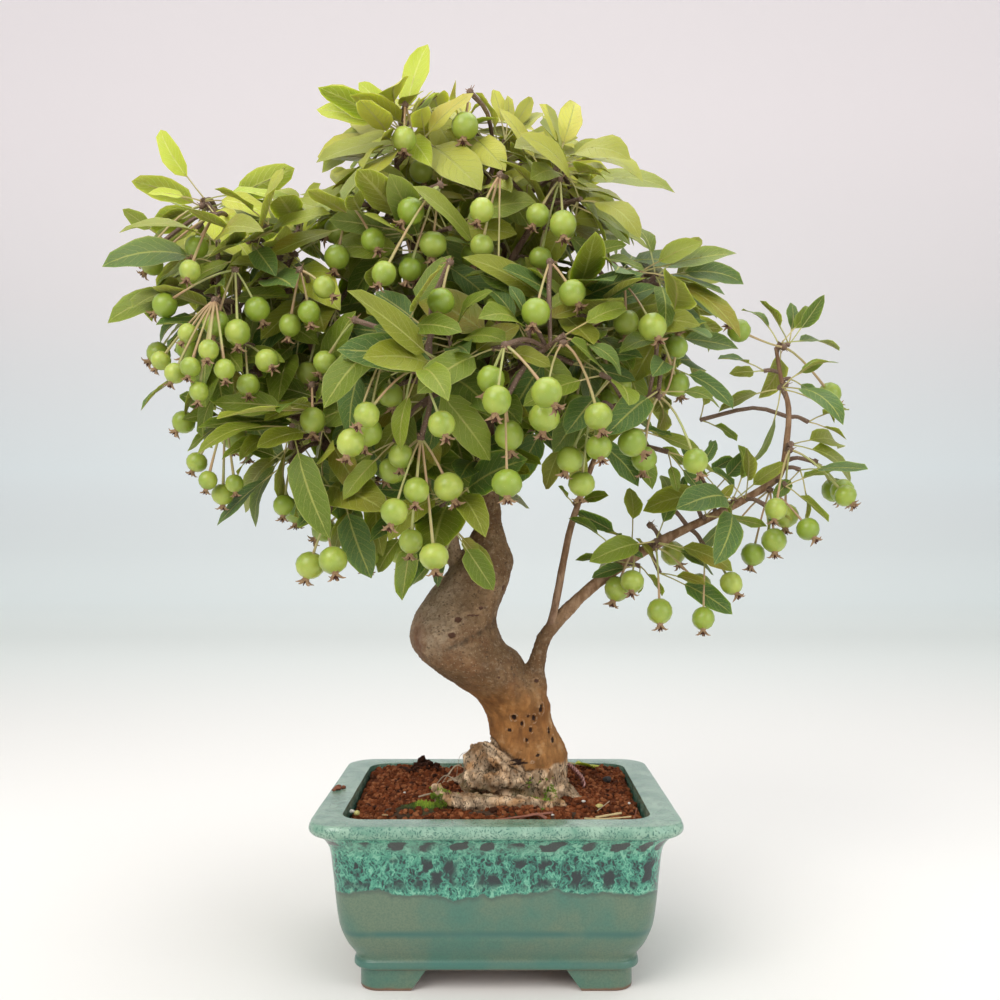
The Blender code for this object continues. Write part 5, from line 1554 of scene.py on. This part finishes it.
def nearestWood(point, woodPoints):
    return min(woodPoints, key=lambda spot: (spot[0] - point).length + (8 if spot[0].z > point.z + 4 else 0))


def shootRoute(end, woodPoints, draw):
    # A side shoot's course from the nearest limb to its end, bowed up
    start, radius = nearestWood(end, woodPoints)
    bow = Vector((draw.uniform(-0.1, 0.1), draw.uniform(-0.1, 0.1), 0.12)) * (end - start).length
    knots = [(*start, 2 * min(1.7, 0.8 * radius)), (*(start.lerp(end, 0.5) + bow), 2.9), (*end, 3.4)]
    return smoothRoute(knots, 3)


shownFruits = []


def tryLeaf(room, owner, draw, root, ahead, face, reach, young, tips=None):
    leaf = newLeaf(draw, root, ahead, face, reach, young)
    leaf["arch"] = math.radians(draw.uniform(8, 46))
    leaf["width"] *= draw.uniform(1.05, 1.25)
    shape = plainLeaf(leaf, 0.7, 0.3)
    points = shape[0]
    if not all(isBoxed(point) for point in points):
        return None
    if tips and not all(isInside(toPhoto(point), tips) for point in points[3:]):
        return None
    if hidesFruit(leaf) or not room.isClear(shape, {(owner, "twig"), (owner, "near")}):
        return None
    room.add(owner, "leaf", shape)
    return leaf


def hidesFruit(leaf):
    # Whether a blade is right in front of a fruit that the photo shows
    middle = bladeFrame(leaf, 0.4)[0]
    behind = [fruit for fruit in shownFruits if fruit[0].y > middle.y - extras["fruitBehind"]]
    near = [fruit for fruit in behind if math.dist(toPhoto(middle), fruit[1]) < extras["fruitNear"]]
    for t in (0.1, 0.3, 0.5, 0.7, 0.9):
        centre, side = bladeFrame(leaf, t)[:2]
        half = leaf["width"] * bladeWidth(t)
        for share in (-0.8, 0, 0.8):
            spot = centre + side * half * share
            if any(spot.y < fruit[0].y and math.dist(toPhoto(spot), fruit[1]) < fruit[2] for fruit in near):
                return True
    return False


def growSprig(room, owner, sprig, woodPoints):
    # Leaves that were made out one by one in the photo
    spot, depth, young, tips = sprig
    draw = random.Random(8000 + owner)
    hub = fromPhoto(spot, depth)
    points, radii = shootRoute(hub, woodPoints, draw)
    room.add(owner, "twig", plainTube(points, radii, 4))
    outward, openSide = sidesAt(hub)
    leaves = []
    for tip in tips:
        for attempt in range(extras["aimedTries"]):
            end = fromPhoto(tip, depth + draw.uniform(-16, 8) * (1 + 0.12 * attempt))
            end += 0.35 * attempt * Vector((draw.uniform(-1, 1), 0, draw.uniform(-1, 1)))
            ahead = end - hub
            reach = ahead.length * 1.03
            if reach > extras["longestLeaf"]:
                continue
            ahead = (ahead.normalized() + 0.22 * up).normalized()
            face = leafHeading(draw, outward, openSide, 0, 0, 0)[1]
            leaf = tryLeaf(room, owner, draw, hub, ahead, face, reach, young)
            if leaf:
                leaves.append(leaf)
                break
    return leaves, (points, radii)


def growPads(room, woodPoints):
    grown = []
    draw = random.Random(41)
    for (middleX, middleY), (reachX, reachY), near, far, count in pads:
        for shoot in range(count):
            owner = 9000 + len(grown)
            for attempt in range(extras["shootTries"]):
                angle, out = draw.uniform(0, math.tau), math.sqrt(draw.random())
                spot = (middleX + reachX * out * math.cos(angle), middleY + reachY * out * math.sin(angle))
                end = fromPhoto(spot, draw.uniform(near, far))
                points, radii = shootRoute(end, woodPoints, draw)
                gap = (points[-1] - points[0]).length
                if not extras["shortestShoot"] < gap < extras["longestShoot"] or not isInside(spot, outline):
                    continue
                if room.isClear(plainTube(points[2:], radii[2:], 4), set()):
                    break
            else:
                continue
            room.add(owner, "twig", plainTube(points, radii, 4))
            outward, openSide = sidesAt(end)
            leaves = []
            for number in range(extras["leavesToShoot"]):
                for attempt in range(extras["leafTries"]):
                    centre = along(points, radii, draw.uniform(0.55, 0.99))[0]
                    turn = math.radians(137.5 * (number + 0.37 * attempt) + 40 * shoot)
                    ahead, face = leafHeading(draw, outward, openSide, None, turn, 0.05 * attempt)
                    ahead = (ahead + draw.uniform(-0.1, 0.5) * up).normalized()
                    reach = crown["leafReach"] * draw.uniform(0.85, 1.3) * (1 - 0.012 * attempt)
                    young = 0.15 * draw.random()
                    leaf = tryLeaf(room, owner, draw, centre, ahead, face, reach, young, outline)
                    if leaf:
                        leaves.append(leaf)
                        break
            grown.append((leaves, (points, radii)))
    return grown


def isApart(fruit, other):
    # Whether two fruits, whose stalks start at the same spur, are clear of each other below it
    if (fruit["centre"] - other["centre"]).length < fruit["radius"] + other["radius"] + 0.4:
        return False
    for one, two in ((fruit, other), (other, fruit)):
        for share in (0, 0.25, 0.5, 0.75, 1):
            if (one["bend"].lerp(one["end"], share) - two["centre"]).length < two["radius"] + 1:
                return False
    return True


def growCluster(room, owner, cluster, woodPoints):
    spot, depth, centres, size = (*cluster, 1)[:4]
    draw = random.Random(7000 + owner)
    hub = fromPhoto(spot, depth)
    points, radii = shootRoute(hub, woodPoints, draw)
    room.add(owner, "twig", plainTube(points, radii, 4))
    fruits = []
    for centre in centres:
        for attempt in range(extras["aimedTries"]):
            middle = fromPhoto(centre, depth + draw.uniform(-14, 14) * (1 + 0.1 * attempt))
            middle += 0.3 * attempt * Vector((draw.uniform(-1, 1), 0, draw.uniform(-1, 1)))
            length = (middle - hub).length
            radius = size * crown["fruitRadius"] * draw.uniform(0.86, 1.06)
            bend = hub.lerp(middle, 0.35) + 0.12 * length * up
            axis = (middle - bend - 0.06 * length * up).normalized()
            end = middle - axis * radius * 0.85
            fruit = {"hub": hub, "bend": bend, "end": end, "axis": axis, "radius": radius, "centre": middle}
            if not isBoxed(middle, radius + 6) or not all(isApart(fruit, other) for other in fruits):
                continue
            if room.isClear(plainFruit(fruit, 0.3), {(owner, "twig"), (owner, "fruit")}):
                fruits.append(fruit)
                room.add(owner, "fruit", plainFruit(fruit))
                reach = 1.15 * radius * view["scale"] / (view["distance"] + middle.y)
                shownFruits.append((middle, toPhoto(middle), reach))
                break
    return fruits, (points, radii), hub


def makeExtras(room):
    # Shoots start from the crown's wood and from all of the two low limbs
    woodPoints, lowest, share = [], extras["woodAbove"], extras["shootsToPiece"]
    for name, knots in limbs.items():
        isLow = name in ("low", "thin")
        woodPoints += [spot for spot in zip(*smoothRoute(knots, 4)) if isLow or spot[0].z > lowest]
    hung = [growCluster(room, 200 + number, cluster, woodPoints) for number, cluster in enumerate(clusters)]
    grown = [growSprig(room, 300 + number, sprig, woodPoints) for number, sprig in enumerate(sprigs)]
    grown += growPads(room, woodPoints)
    looks = [leafLooks[kind] for kind in ("upper", "under", "petiole", "twig")]
    for part in range(0, len(grown), share):
        bm = leafMesh([leaf for leaves, route in grown[part:part + share] for leaf in leaves], 100 + part)
        for leaves, (points, radii) in grown[part:part + share]:
            addTube(bm, points, radii, 6, 3, 0.12)
        makePiece(f"more_leaves_{part // share + 1:02d}", bm, looks)
    bm = fruitBunchMesh([fruit for bunch in hung for fruit in bunch[0]], 90)
    for number, (fruits, (points, radii), hub) in enumerate(hung):
        addTube(bm, points, radii, 6, 4, 0.12)
        addHub(bm, hub, random.Random(600 + number))
    makePiece("more_fruits", bm, fruitLooks)
    print("more leaves", sum(len(shoot[0]) for shoot in grown))
    print("more fruits", sum(len(bunch[0]) for bunch in hung))


# Soil, moss, and what lies on them

ground = {
    "edge": 97, "crown": 103, "backRise": 4.5, "inset": 19.6, "floor": 22.4, "overScreens": 24.3,
    "reachX": 95, "reachY": 82, "around": 96,
    "rings": (0.995, 0.96, 0.9, 0.83, 0.76, 0.69, 0.62, 0.55, 0.48, 0.41, 0.34, 0.27, 0.2, 0.13, 0.06, 0),
    "grains": 4300, "grainRadius": (1.1, 2.5),
    "heaps": (  # x, y, reach, rise
        (-66, 64, 20, 2.6), (70, 62, 24, 3.2), (-50, 58, 9, 4.0), (20, 74, 30, 2.0), (-84, 10, 14, 1.6),
        (88, -20, 12, 1.0),
    ),
    "crumbs": 46, "crumbsX": -53, "crumbsY": 60,  # dark crumbs heaped at the back
}
mossBeds = ((-52, -42, 17, 11, 4.5), (18, -54, 34, 9, 3.5))  # x, y, reach in x and y, rise
mossGreens = (  # x, y, radius, brightness
    (-44, -39, 15, 1.0), (-56, -44, 7, 0.45), (-12, -48, 8, 0.45), (30, -48, 9, 0.5), (12, -56, 7, 0.3),
)
mossBlades = {
    "onCushion": 1500, "width": 0.26, "cushionLength": (0.8, 2.0), "rootLength": (0.8, 1.7),
    "farthest": 9, "thinUnder": -0.12,
}
mossCushion = {  # from the buried foot to the top: share of the reach, share of the rise
    "scale": (0, 1, 1.02, 0.9, 0.7, 0.45, 0.2, 0), "height": (-5, -5, 0.1, 0.5, 0.75, 0.9, 0.98, 1),
    "around": 40,
}
mossPatches = (  # tufts on the roots: middle, reach, how many, how bright from 0 to 1
    ((31, -31, 111), (7, 6, 8), 2200, 0.95), ((8, -29, 108), (26, 7, 4), 620, 0.25),
    ((-38, -41, 107), (9, 5, 7), 2200, 0.95), ((48, -16, 104), (9, 12, 10), 260, 0.3),
    ((-22, -26, 112), (14, 8, 8), 300, 0.35), ((18, -41, 98), (26, 4, 4), 380, 0.5),
    ((-6, -20, 118), (10, 6, 5), 160, 0.2), ((40, 6, 108), (12, 16, 8), 140, 0.3),
)
strays = (  # straws, roots and fibres: points, thickness, kind (0 straw, 1 reddish stick, 2 pale root)
    (((53, -62, 101), (66, -65, 101.6), (81, -63, 102.2)), 1.1, 0),
    (((60, -60, 101), (76, -57, 103)), 1.5, 0), (((83, -61, 99), (84.5, -62, 107)), 0.9, 1),
    (((-1, -66, 101), (16, -65, 103), (34, -60, 104)), 1.3, 1),
    (((14, -62, 101), (24, -64, 104), (30, -66, 102)), 2.0, 1),
    (((-31, -20, 118), (-26, -14, 123), (-18, -12, 119)), 0.7, 2),
    (((-36, 2, 108), (-30, 0, 117), (-24, 4, 120), (-20, 10, 118)), 0.5, 2),
    (((-40, 10, 106), (-34, 6, 112), (-26, -2, 110)), 0.9, 2),
    (((-28, 34, 104), (-26, 36, 118), (-20, 36, 122), (-17, 36, 117)), 0.35, 2),
    (((-50, -20, 104), (-42, -24, 107)), 1.2, 2), (((62, -48, 102), (70, -44, 107)), 0.5, 2),
    (((-70, -50, 100), (-66, -58, 102)), 0.7, 0),
)
bits = (  # place, radius, kind (0 pale yellow, 1 white, 2 black, 3 loose red grain)
    ((-85, -55, 102.5), 2.2, 0), ((64, -41, 103.4), 2.2, 0), ((55, -31, 103.8), 1.1, 1),
    ((76, 28, 104.5), 2.8, 2), ((-104, -5.5, 106.6), 2.9, 3), ((-101, -2, 106), 1.6, 3),
    ((-106, -9, 105.9), 1.2, 3), ((-89, -48, 101.8), 1.5, 1), ((34, -60, 102.6), 0.9, 1),
    ((-60, -10, 104.4), 0.8, 1), ((84, -30, 102.4), 1.0, 1),
)


def soilTop(x, y):
    share = min(1, math.hypot(x / ground["reachX"], y / ground["reachY"]))
    domed = (ground["crown"] - ground["edge"]) * (1 - share**2)
    top = ground["edge"] + domed + ground["backRise"] * max(0, y / 80)
    for heapX, heapY, reach, rise in ground["heaps"]:
        top += rise * math.exp(-((x - heapX) ** 2 + (y - heapY) ** 2) / reach**2)
    return top + 0.8 * noise.noise(Vector((x * 0.12, y * 0.12, 0)))


def soilEdge(share, scale, inset=None):
    return scale * potOutline(share, inset or ground["inset"])


def makeSoilBed():
    inner = ground["rings"]
    low, over = ground["floor"], ground["overScreens"]
    below = [
        (0, 19.6, over), (0.9, 30.7, over), (0.93, 30.7, low), (1, 30.7, low), (1, 24.7, 45), (1, 19.7, 88),
    ]

    def place(share, row):
        if row < len(below):
            scale, inset, z = below[row]
            return soilEdge(share, scale, inset) + up * z
        flat = soilEdge(share, inner[row - len(below)])
        return flat + up * soilTop(flat.x, flat.y)

    bm = bmesh.new()
    rollGrid(bm, ground["around"], len(below) + len(inner), place)
    return fromMesh(toMesh(bm, "bed"))


def repeated(bm, template, count, place):
    # Adds the template many times, then lets place(number, index, point) set each point of each copy
    first = len(bm.verts)
    for number in range(count):
        bm.from_mesh(template)
    bm.verts.ensure_lookup_table()
    size = len(template.vertices)
    for number in range(count):
        for index in range(size):
            vert = bm.verts[first + number * size + index]
            vert.co = place(number, index, vert.co)
    return bm.verts[first:]


def simpleTemplate(kind, **settings):
    bm = bmesh.new()
    getattr(bmesh.ops, kind)(bm, **settings)
    return toMesh(bm, kind)


def bedRise(x, y):
    # How much higher the bare parts of the moss beds lie than the soil
    for greenX, greenY, radius, tone in mossGreens:
        if tone > 0.4 and math.dist((x, y), (greenX, greenY)) < 0.6 * radius:
            return 0
    rises = [0]
    for bedX, bedY, reachX, reachY, rise in mossBeds:
        out = math.dist((x / reachX, y / reachY), (bedX / reachX, bedY / reachY))
        if out < 1:
            rises.append(rise * (1 - 0.85 * out**3))
    return max(rises)


def makeSoil(woodTree):
    draw = random.Random(12)
    bm = makeSoilBed()
    shade = bm.verts.layers.float.new("shade")
    for vert in bm.verts:
        vert[shade] = 0.25
    spots = []
    while len(spots) < ground["grains"]:
        isCrumb = len(spots) < ground["crumbs"]
        if isCrumb:
            x, y = draw.gauss(ground["crumbsX"], 5), draw.gauss(ground["crumbsY"], 4)
            out = math.hypot(x - ground["crumbsX"], y - ground["crumbsY"])
            lift, size = draw.uniform(-1, 7) * math.exp(-out / 8), draw.uniform(1.6, 3.2)
        else:
            edge = soilEdge(draw.random(), math.sqrt(draw.random()) * 0.985)
            x, y, lift = edge.x, edge.y, draw.uniform(-0.7, 0.9)
            size = draw.uniform(*ground["grainRadius"])
        point = Vector((x, y, soilTop(x, y) + lift + bedRise(x, y)))
        near, normal, face, gap = woodTree.find_nearest(point)
        if near and (gap < 0.5 * size or (point - near).dot(normal) < 0):
            continue
        angle = draw.uniform(0, math.tau)
        turn = Matrix.Rotation(angle, 3, Vector((draw.uniform(-1, 1), draw.uniform(-1, 1), 1)).normalized())
        stretch = Vector((draw.uniform(0.75, 1.2), draw.uniform(0.75, 1.2), draw.uniform(0.65, 1.0)))
        spots.append((point, size, turn, stretch, 0.0 if isCrumb else draw.random()))

    def place(number, index, point):
        middle, size, turn, stretch, tone = spots[number]
        rough = 1 + 0.42 * noise.noise(point * 1.7 + middle)
        return middle + turn @ (point * stretch * size * rough)

    grains = repeated(bm, simpleTemplate("create_icosphere", subdivisions=1, radius=1), len(spots), place)
    for number, vert in enumerate(grains):
        vert[shade] = spots[number // 12][4]
    look = Surface("soilGrains", 0.92, Specular_IOR_Level=0.15)
    tone = look.attribute("shade")
    fine = look.noise(520, 4, 0.65)
    flat = look.ramp(
        tone, (0.0, (0.035, 0.012, 0.006)), (0.12, (0.10, 0.026, 0.008)), (0.6, (0.20, 0.052, 0.016)),
        (1.0, (0.34, 0.125, 0.05)),
    )
    flat = look.veil(look.between(fine, 0.45, 0.7), 0.55, flat, (0.06, 0.018, 0.006))
    flat = look.veil(look.clouds(0.66, 0.74, 900, 2), 0.5, flat, (0.50, 0.28, 0.16))
    makePiece("soil_grains", bm, [look.finish(flat, fine, 0.0012, 0.9)], ["soil"], 30)
    print("soil")


def mossLook():
    look = Surface("mossLook", 0.9)
    bright = look.attribute("bright")
    flat = look.ramp(
        bright, (0.0, (0.055, 0.026, 0.011)), (0.25, (0.040, 0.038, 0.011)), (0.5, (0.065, 0.095, 0.014)),
        (0.8, (0.15, 0.25, 0.02)), (1.0, (0.30, 0.42, 0.035)),
    )
    flat = look.veil(look.clouds(0.5, 0.7, 160, 3), 0.5, flat, (0.05, 0.06, 0.012))
    return look.finish(flat, look.noise(700, 3), 0.0008, 0.7)


def addTufts(bm, spots):
    # Small three-sided blades: each spot holds a foot, a heading, a length and a brightness
    bright = bm.verts.layers.float["bright"]

    def place(number, index, point):
        foot, heading, length, tone = spots[number]
        side = heading.orthogonal().normalized()
        across = heading.cross(side)
        wide = mossBlades["width"] * length
        return foot + wide * (point.x * side + point.y * across) + heading * length * (point.z + 0.3)

    template = simpleTemplate("create_cone", cap_ends=True, segments=3, radius1=1, radius2=0.0, depth=1)
    tufts = repeated(bm, template, len(spots), place)
    size = len(template.vertices)
    for number, vert in enumerate(tufts):
        vert[bright] = spots[number // size][3] * (1.0 if number % size else 0.75)


def greenAt(place):
    # How bright the moss is at a place on its beds, from 0 to 1
    tones = []
    for x, y, radius, tone in mossGreens:
        tones.append(tone * softStep(radius, 0.2 * radius, (place.xy - Vector((x, y))).length))
    return max(tones)


def makeCushion(x, y, reachX, reachY, rise):
    def place(share, row):
        angle = math.tau * share
        edge = mossCushion["scale"][row] * (1 + 0.12 * math.sin(3 * angle + x) + 0.08 * math.sin(5 * angle))
        flatX, flatY = x + reachX * edge * math.cos(angle), y + reachY * edge * math.sin(angle)
        height = mossCushion["height"][row] * (rise if row > 1 else 1)
        lump = 0.9 * noise.noise(Vector((flatX, flatY, 3)) * 0.3) if row > 1 else 0
        return Vector((flatX, flatY, soilTop(flatX, flatY) + height + lump))

    bm = bmesh.new()
    rollGrid(bm, mossCushion["around"], len(mossCushion["scale"]), place)
    bm = fromMesh(toMesh(bm, "cushion"))
    bright = bm.verts.layers.float.new("bright")
    for vert in bm.verts:
        vert[bright] = greenAt(vert.co) * 0.8
    return bm


def makeMoss(woodTree):
    draw = random.Random(31)
    looks = [mossLook()]
    for name, bed in zip(("moss_left", "moss_front"), mossBeds):
        x, y, reachX, reachY, rise = bed
        bm = makeCushion(*bed)
        spots = []
        for number in range(mossBlades["onCushion"]):
            angle, out = draw.uniform(0, math.tau), math.sqrt(draw.random()) * 1.02
            spotX, spotY = x + reachX * out * math.cos(angle), y + reachY * out * math.sin(angle)
            foot = Vector((spotX, spotY, soilTop(spotX, spotY) + rise * (1 - 0.9 * out**3) - 0.3))
            heading = Vector((draw.uniform(-0.7, 0.7), draw.uniform(-0.7, 0.7), 1)).normalized()
            tone = greenAt(foot)
            tone += 0.3 * noise.noise(Vector((spotX, spotY, 9)) * 0.16) + draw.uniform(-0.15, 0.2)
            if tone > 0.1:
                length = draw.uniform(*mossBlades["cushionLength"]) * (0.5 + 1.3 * tone)
                spots.append((foot, heading, length, min(1, tone)))
        addTufts(bm, spots)
        makePiece(f"{name}_tufts", bm, looks, [name])
    bm = bmesh.new()
    bm.verts.layers.float.new("bright")
    spots = []
    for middle, reach, count, tone in mossPatches:
        for number in range(count):
            stray = Vector((draw.gauss(0, 0.5), draw.gauss(0, 0.5), draw.gauss(0, 0.5)))
            foot, normal, face, gap = woodTree.find_nearest(Vector(middle) + stray * Vector(reach))
            if foot is None or gap > mossBlades["farthest"] or normal.y > 0.75:
                continue
            if foot.z < soilTop(foot.x, foot.y) - 2 or noise.noise(foot * 0.22) < mossBlades["thinUnder"]:
                continue
            heading = normal + 0.6 * Vector((draw.uniform(-1, 1), draw.uniform(-1, 1), draw.uniform(-0.4, 1)))
            length = draw.uniform(*mossBlades["rootLength"]) * (0.8 + 0.6 * tone)
            bright = max(0, min(1, tone + draw.uniform(-0.3, 0.2)))
            spots.append((foot - normal * 0.3, heading.normalized(), length, bright))
    addTufts(bm, spots)
    makePiece("root_moss", bm, looks)
    print("moss")


strayLooks = (  # name, darker and lighter colour, roughness, grain's scale
    ("straw", (0.52, 0.38, 0.17), (0.66, 0.52, 0.27), 0.6, 220),
    ("redStick", (0.22, 0.075, 0.045), (0.38, 0.15, 0.09), 0.6, 220),
    ("paleRoot", (0.36, 0.27, 0.17), (0.50, 0.40, 0.28), 0.7, 260),
)
bitLooks = (
    ("yellowBit", (0.50, 0.42, 0.10), (0.62, 0.56, 0.22), 0.6, 300),
    ("whiteBit", (0.62, 0.58, 0.50), (0.75, 0.72, 0.66), 0.7, 300),
    ("blackGrain", (0.012, 0.012, 0.012), (0.035, 0.03, 0.028), 0.8, 300),
    ("looseGrain", (0.17, 0.052, 0.026), (0.29, 0.11, 0.058), 0.9, 300),
)


def makeStrays():
    bm = bmesh.new()
    draw = random.Random(77)
    for points, thick, kind in strays:
        course, radii = smoothRoute([(*point, thick) for point in points], 5)
        addTube(bm, course, [radius * draw.uniform(0.8, 1.1) for radius in radii], 6, kind, 0.15)
    makePiece("straws_and_roots", bm, [plainLook(*row) for row in strayLooks])
    bm = bmesh.new()
    ball = simpleTemplate("create_icosphere", subdivisions=2, radius=1)
    for middle, radius, kind in bits:
        firstFace = len(bm.faces)
        stretch = Vector((draw.uniform(0.8, 1.25), draw.uniform(0.7, 1.0), draw.uniform(0.6, 0.85)))

        def place(number, index, point):
            rough = 1 + 0.4 * noise.noise(point * 1.3 + Vector(middle))
            return Vector(middle) + point * stretch * radius * rough

        repeated(bm, ball, 1, place)
        bm.faces.ensure_lookup_table()
        for face in bm.faces[firstFace:]:
            face.material_index = kind
    makePiece("bits", bm, [plainLook(*row) for row in bitLooks])


wire = {
    "knots": ((58, 16, 78), (58.5, 16, 104), (54, 17, 112), (48.5, 18, 117)),
    "steps": 22, "strand": 0.82, "apart": 0.95, "turn": 0.62,
}


def makeWire():
    # Two strands twisted round each other
    course = smoothRoute([(*knot, 0) for knot in wire["knots"]], wire["steps"])[0]
    bm = bmesh.new()
    for strand in (0, 1):
        points = []
        for i, point in enumerate(course):
            ahead = aheadAt(course, i).normalized()
            side = squareTo(ahead, Vector((0, 1, 0)))
            angle = i * wire["turn"] + strand * math.pi
            across = ahead.cross(side)
            points.append(point + wire["apart"] * (math.cos(angle) * side + math.sin(angle) * across))
        addTube(bm, points, [wire["strand"]] * len(points), 8)
    look = Surface("coppery", 0.42, Metallic=0.75)
    flat = look.mix(look.noise(260, 3), (0.36, 0.17, 0.15), (0.58, 0.33, 0.29))
    flat = look.veil(look.clouds(0.5, 0.7, 520, 3), 0.6, flat, (0.16, 0.07, 0.055))
    makePiece("twisted_wire", bm, [look.finish(flat, look.noise(900, 2), 0.0002, 0.4)], ["tie_wire"])


dropped = {"root": (42, 56, 125), "ahead": (0.95, 0.25, -0.14), "reach": 40, "young": 0.5, "arch": 20}


def makeFallenLeaf():
    # The same leaf as the solid one, let down as far as that one was
    solid = bpy.data.objects["fallen_leaf"]
    lowest = min((solid.matrix_world @ Vector(corner)).z for corner in solid.bound_box) / mm
    root, ahead = Vector(dropped["root"]), Vector(dropped["ahead"]).normalized()
    leaf = newLeaf(random.Random(5), root, ahead, up, dropped["reach"], dropped["young"])
    leaf["arch"], leaf["twist"] = math.radians(dropped["arch"]), 0
    leaf["root"] -= up * (min(point.z for point in plainLeaf(leaf, crown["thick"], 0.5)[0]) - lowest)
    bm = leafMesh([leaf], 70)
    looks = [leafLook("fallenUpper", False, True), leafLooks["youngUnder"], leafLooks["petiole"]]
    makePiece("dropped_leaf", bm, looks, ["fallen_leaf"])


def dressScreens():
    # The mesh screens keep their shape and get a worn black plastic
    look = Surface("meshPlastic", 0.5)
    flat = look.mix(look.clouds(0.45, 0.65, 180, 3), (0.012, 0.012, 0.013), (0.06, 0.045, 0.035))
    black = look.finish(flat, look.noise(800, 3), 0.0002, 0.4)
    for side in ("left", "right"):
        for slot in bpy.data.objects[f"drain_screen_{side}"].material_slots:
            slot.material = black


# Camera and studio

studio = {
    "cameraPlace": (0.0022, -0.6975, 0.2657), "lens": 37.98, "sensor": 36, "shiftY": 0.045,
    "floorHalf": 2.4,
    "sweep": ((0.06, 0.3), (0.25, 0.52), (0.6, 0.64), (1.2, 0.66), (3.0, 0.66)),  # rise, way back
    "lights": (  # name, place, size, power, tint
        ("key", (-0.9, -1.3, 1.5), 1.3, 24.0, (1.0, 0.98, 0.95)),
        ("fill", (1.2, -1.1, 0.7), 1.2, 9.0, (0.95, 0.98, 1.0)),
        ("top", (0.1, 0.1, 1.8), 1.7, 18.0, (1.0, 1.0, 1.0)),
    ),
    "lightsAim": (0, 0, 0.3), "air": 0.58, "airTint": (0.93, 0.96, 1.0),
}


def makeStudio():
    scene = bpy.context.scene
    lens = bpy.data.cameras.new("camera")
    lens.lens = studio["lens"]
    lens.sensor_width = studio["sensor"]
    lens.shift_y = studio["shiftY"]
    scene.camera = toScene("camera", lens)
    scene.camera.location = studio["cameraPlace"]
    scene.camera.rotation_euler = (math.radians(90), 0, 0)
    # floor and sweep
    bm = bmesh.new()
    bmesh.ops.create_grid(bm, x_segments=1, y_segments=1, size=studio["floorHalf"])
    far = [edge for edge in bm.edges if all(vert.co.y > 1 for vert in edge.verts)]
    for rise, back in studio["sweep"]:
        pulled = bmesh.ops.extrude_edge_only(bm, edges=far)["geom"]
        for vert in vertsOf(pulled):
            vert.co.y, vert.co.z = studio["floorHalf"] + back, rise
        far = [part for part in pulled if isinstance(part, bmesh.types.BMEdge)]
    mesh = toMesh(bm, "studio_sweep")
    mesh.shade_smooth()
    sweep = toScene("studio_sweep", mesh)
    paper = Surface("studioPaper", 0.9)
    # the paper's colour changes with height, beige on the floor to pale blue-white up the sweep: a painted
    # gradient of light
    tone = paper.ramp(
        paper.between(paper.axis("Z"), -0.2, 1.9), (0.0, (0.81, 0.76, 0.70)), (0.05, (0.85, 0.85, 0.83)),
        (0.28, (0.93, 0.97, 0.97)), (0.7, (0.98, 0.93, 0.92)),
    )
    paper.fill(paper.shader.inputs["Base Color"], tone)
    # a faint glow that evens the backdrop out: on the far floor, and towards the top
    far = paper.between(paper.axis("Y"), 0.5, 1.9)
    low = paper.times(far, paper.between(paper.axis("Z"), 0.45, 0.0))
    high = paper.between(paper.axis("Z"), 0.7, 1.9)
    glow = paper.mix(low, paper.mix(high, (0.0, 0.0, 0.0), (0.14, 0.105, 0.11)), (0.075, 0.115, 0.11))
    paper.fill(paper.shader.inputs["Emission Color"], glow)
    paper.fill(paper.shader.inputs["Emission Strength"], 1.0)
    mesh.materials.append(paper.material)
    for name, place, size, power, tint in studio["lights"]:
        lamp = bpy.data.lights.new(name, "AREA")
        lamp.size = size
        lamp.energy = power
        lamp.color = tint
        light = toScene(name, lamp)
        light.location = place
        aim = Vector(place) - Vector(studio["lightsAim"])
        light.rotation_euler = aim.to_track_quat("Z", "Y").to_euler()
    world = bpy.data.worlds.new("air")
    world.use_nodes = True
    world.node_tree.nodes["Background"].inputs[0].default_value = (*studio["airTint"], 1)
    world.node_tree.nodes["Background"].inputs[1].default_value = studio["air"]
    scene.world = world
    scene.view_settings.view_transform = "Standard"
    print("studio")


makeStudio()
makePot()
woodTree = makeWood()
makeExtras(growCrown())
makeSoil(woodTree)
makeMoss(woodTree)
makeStrays()
makeWire()
makeFallenLeaf()
dressScreens()
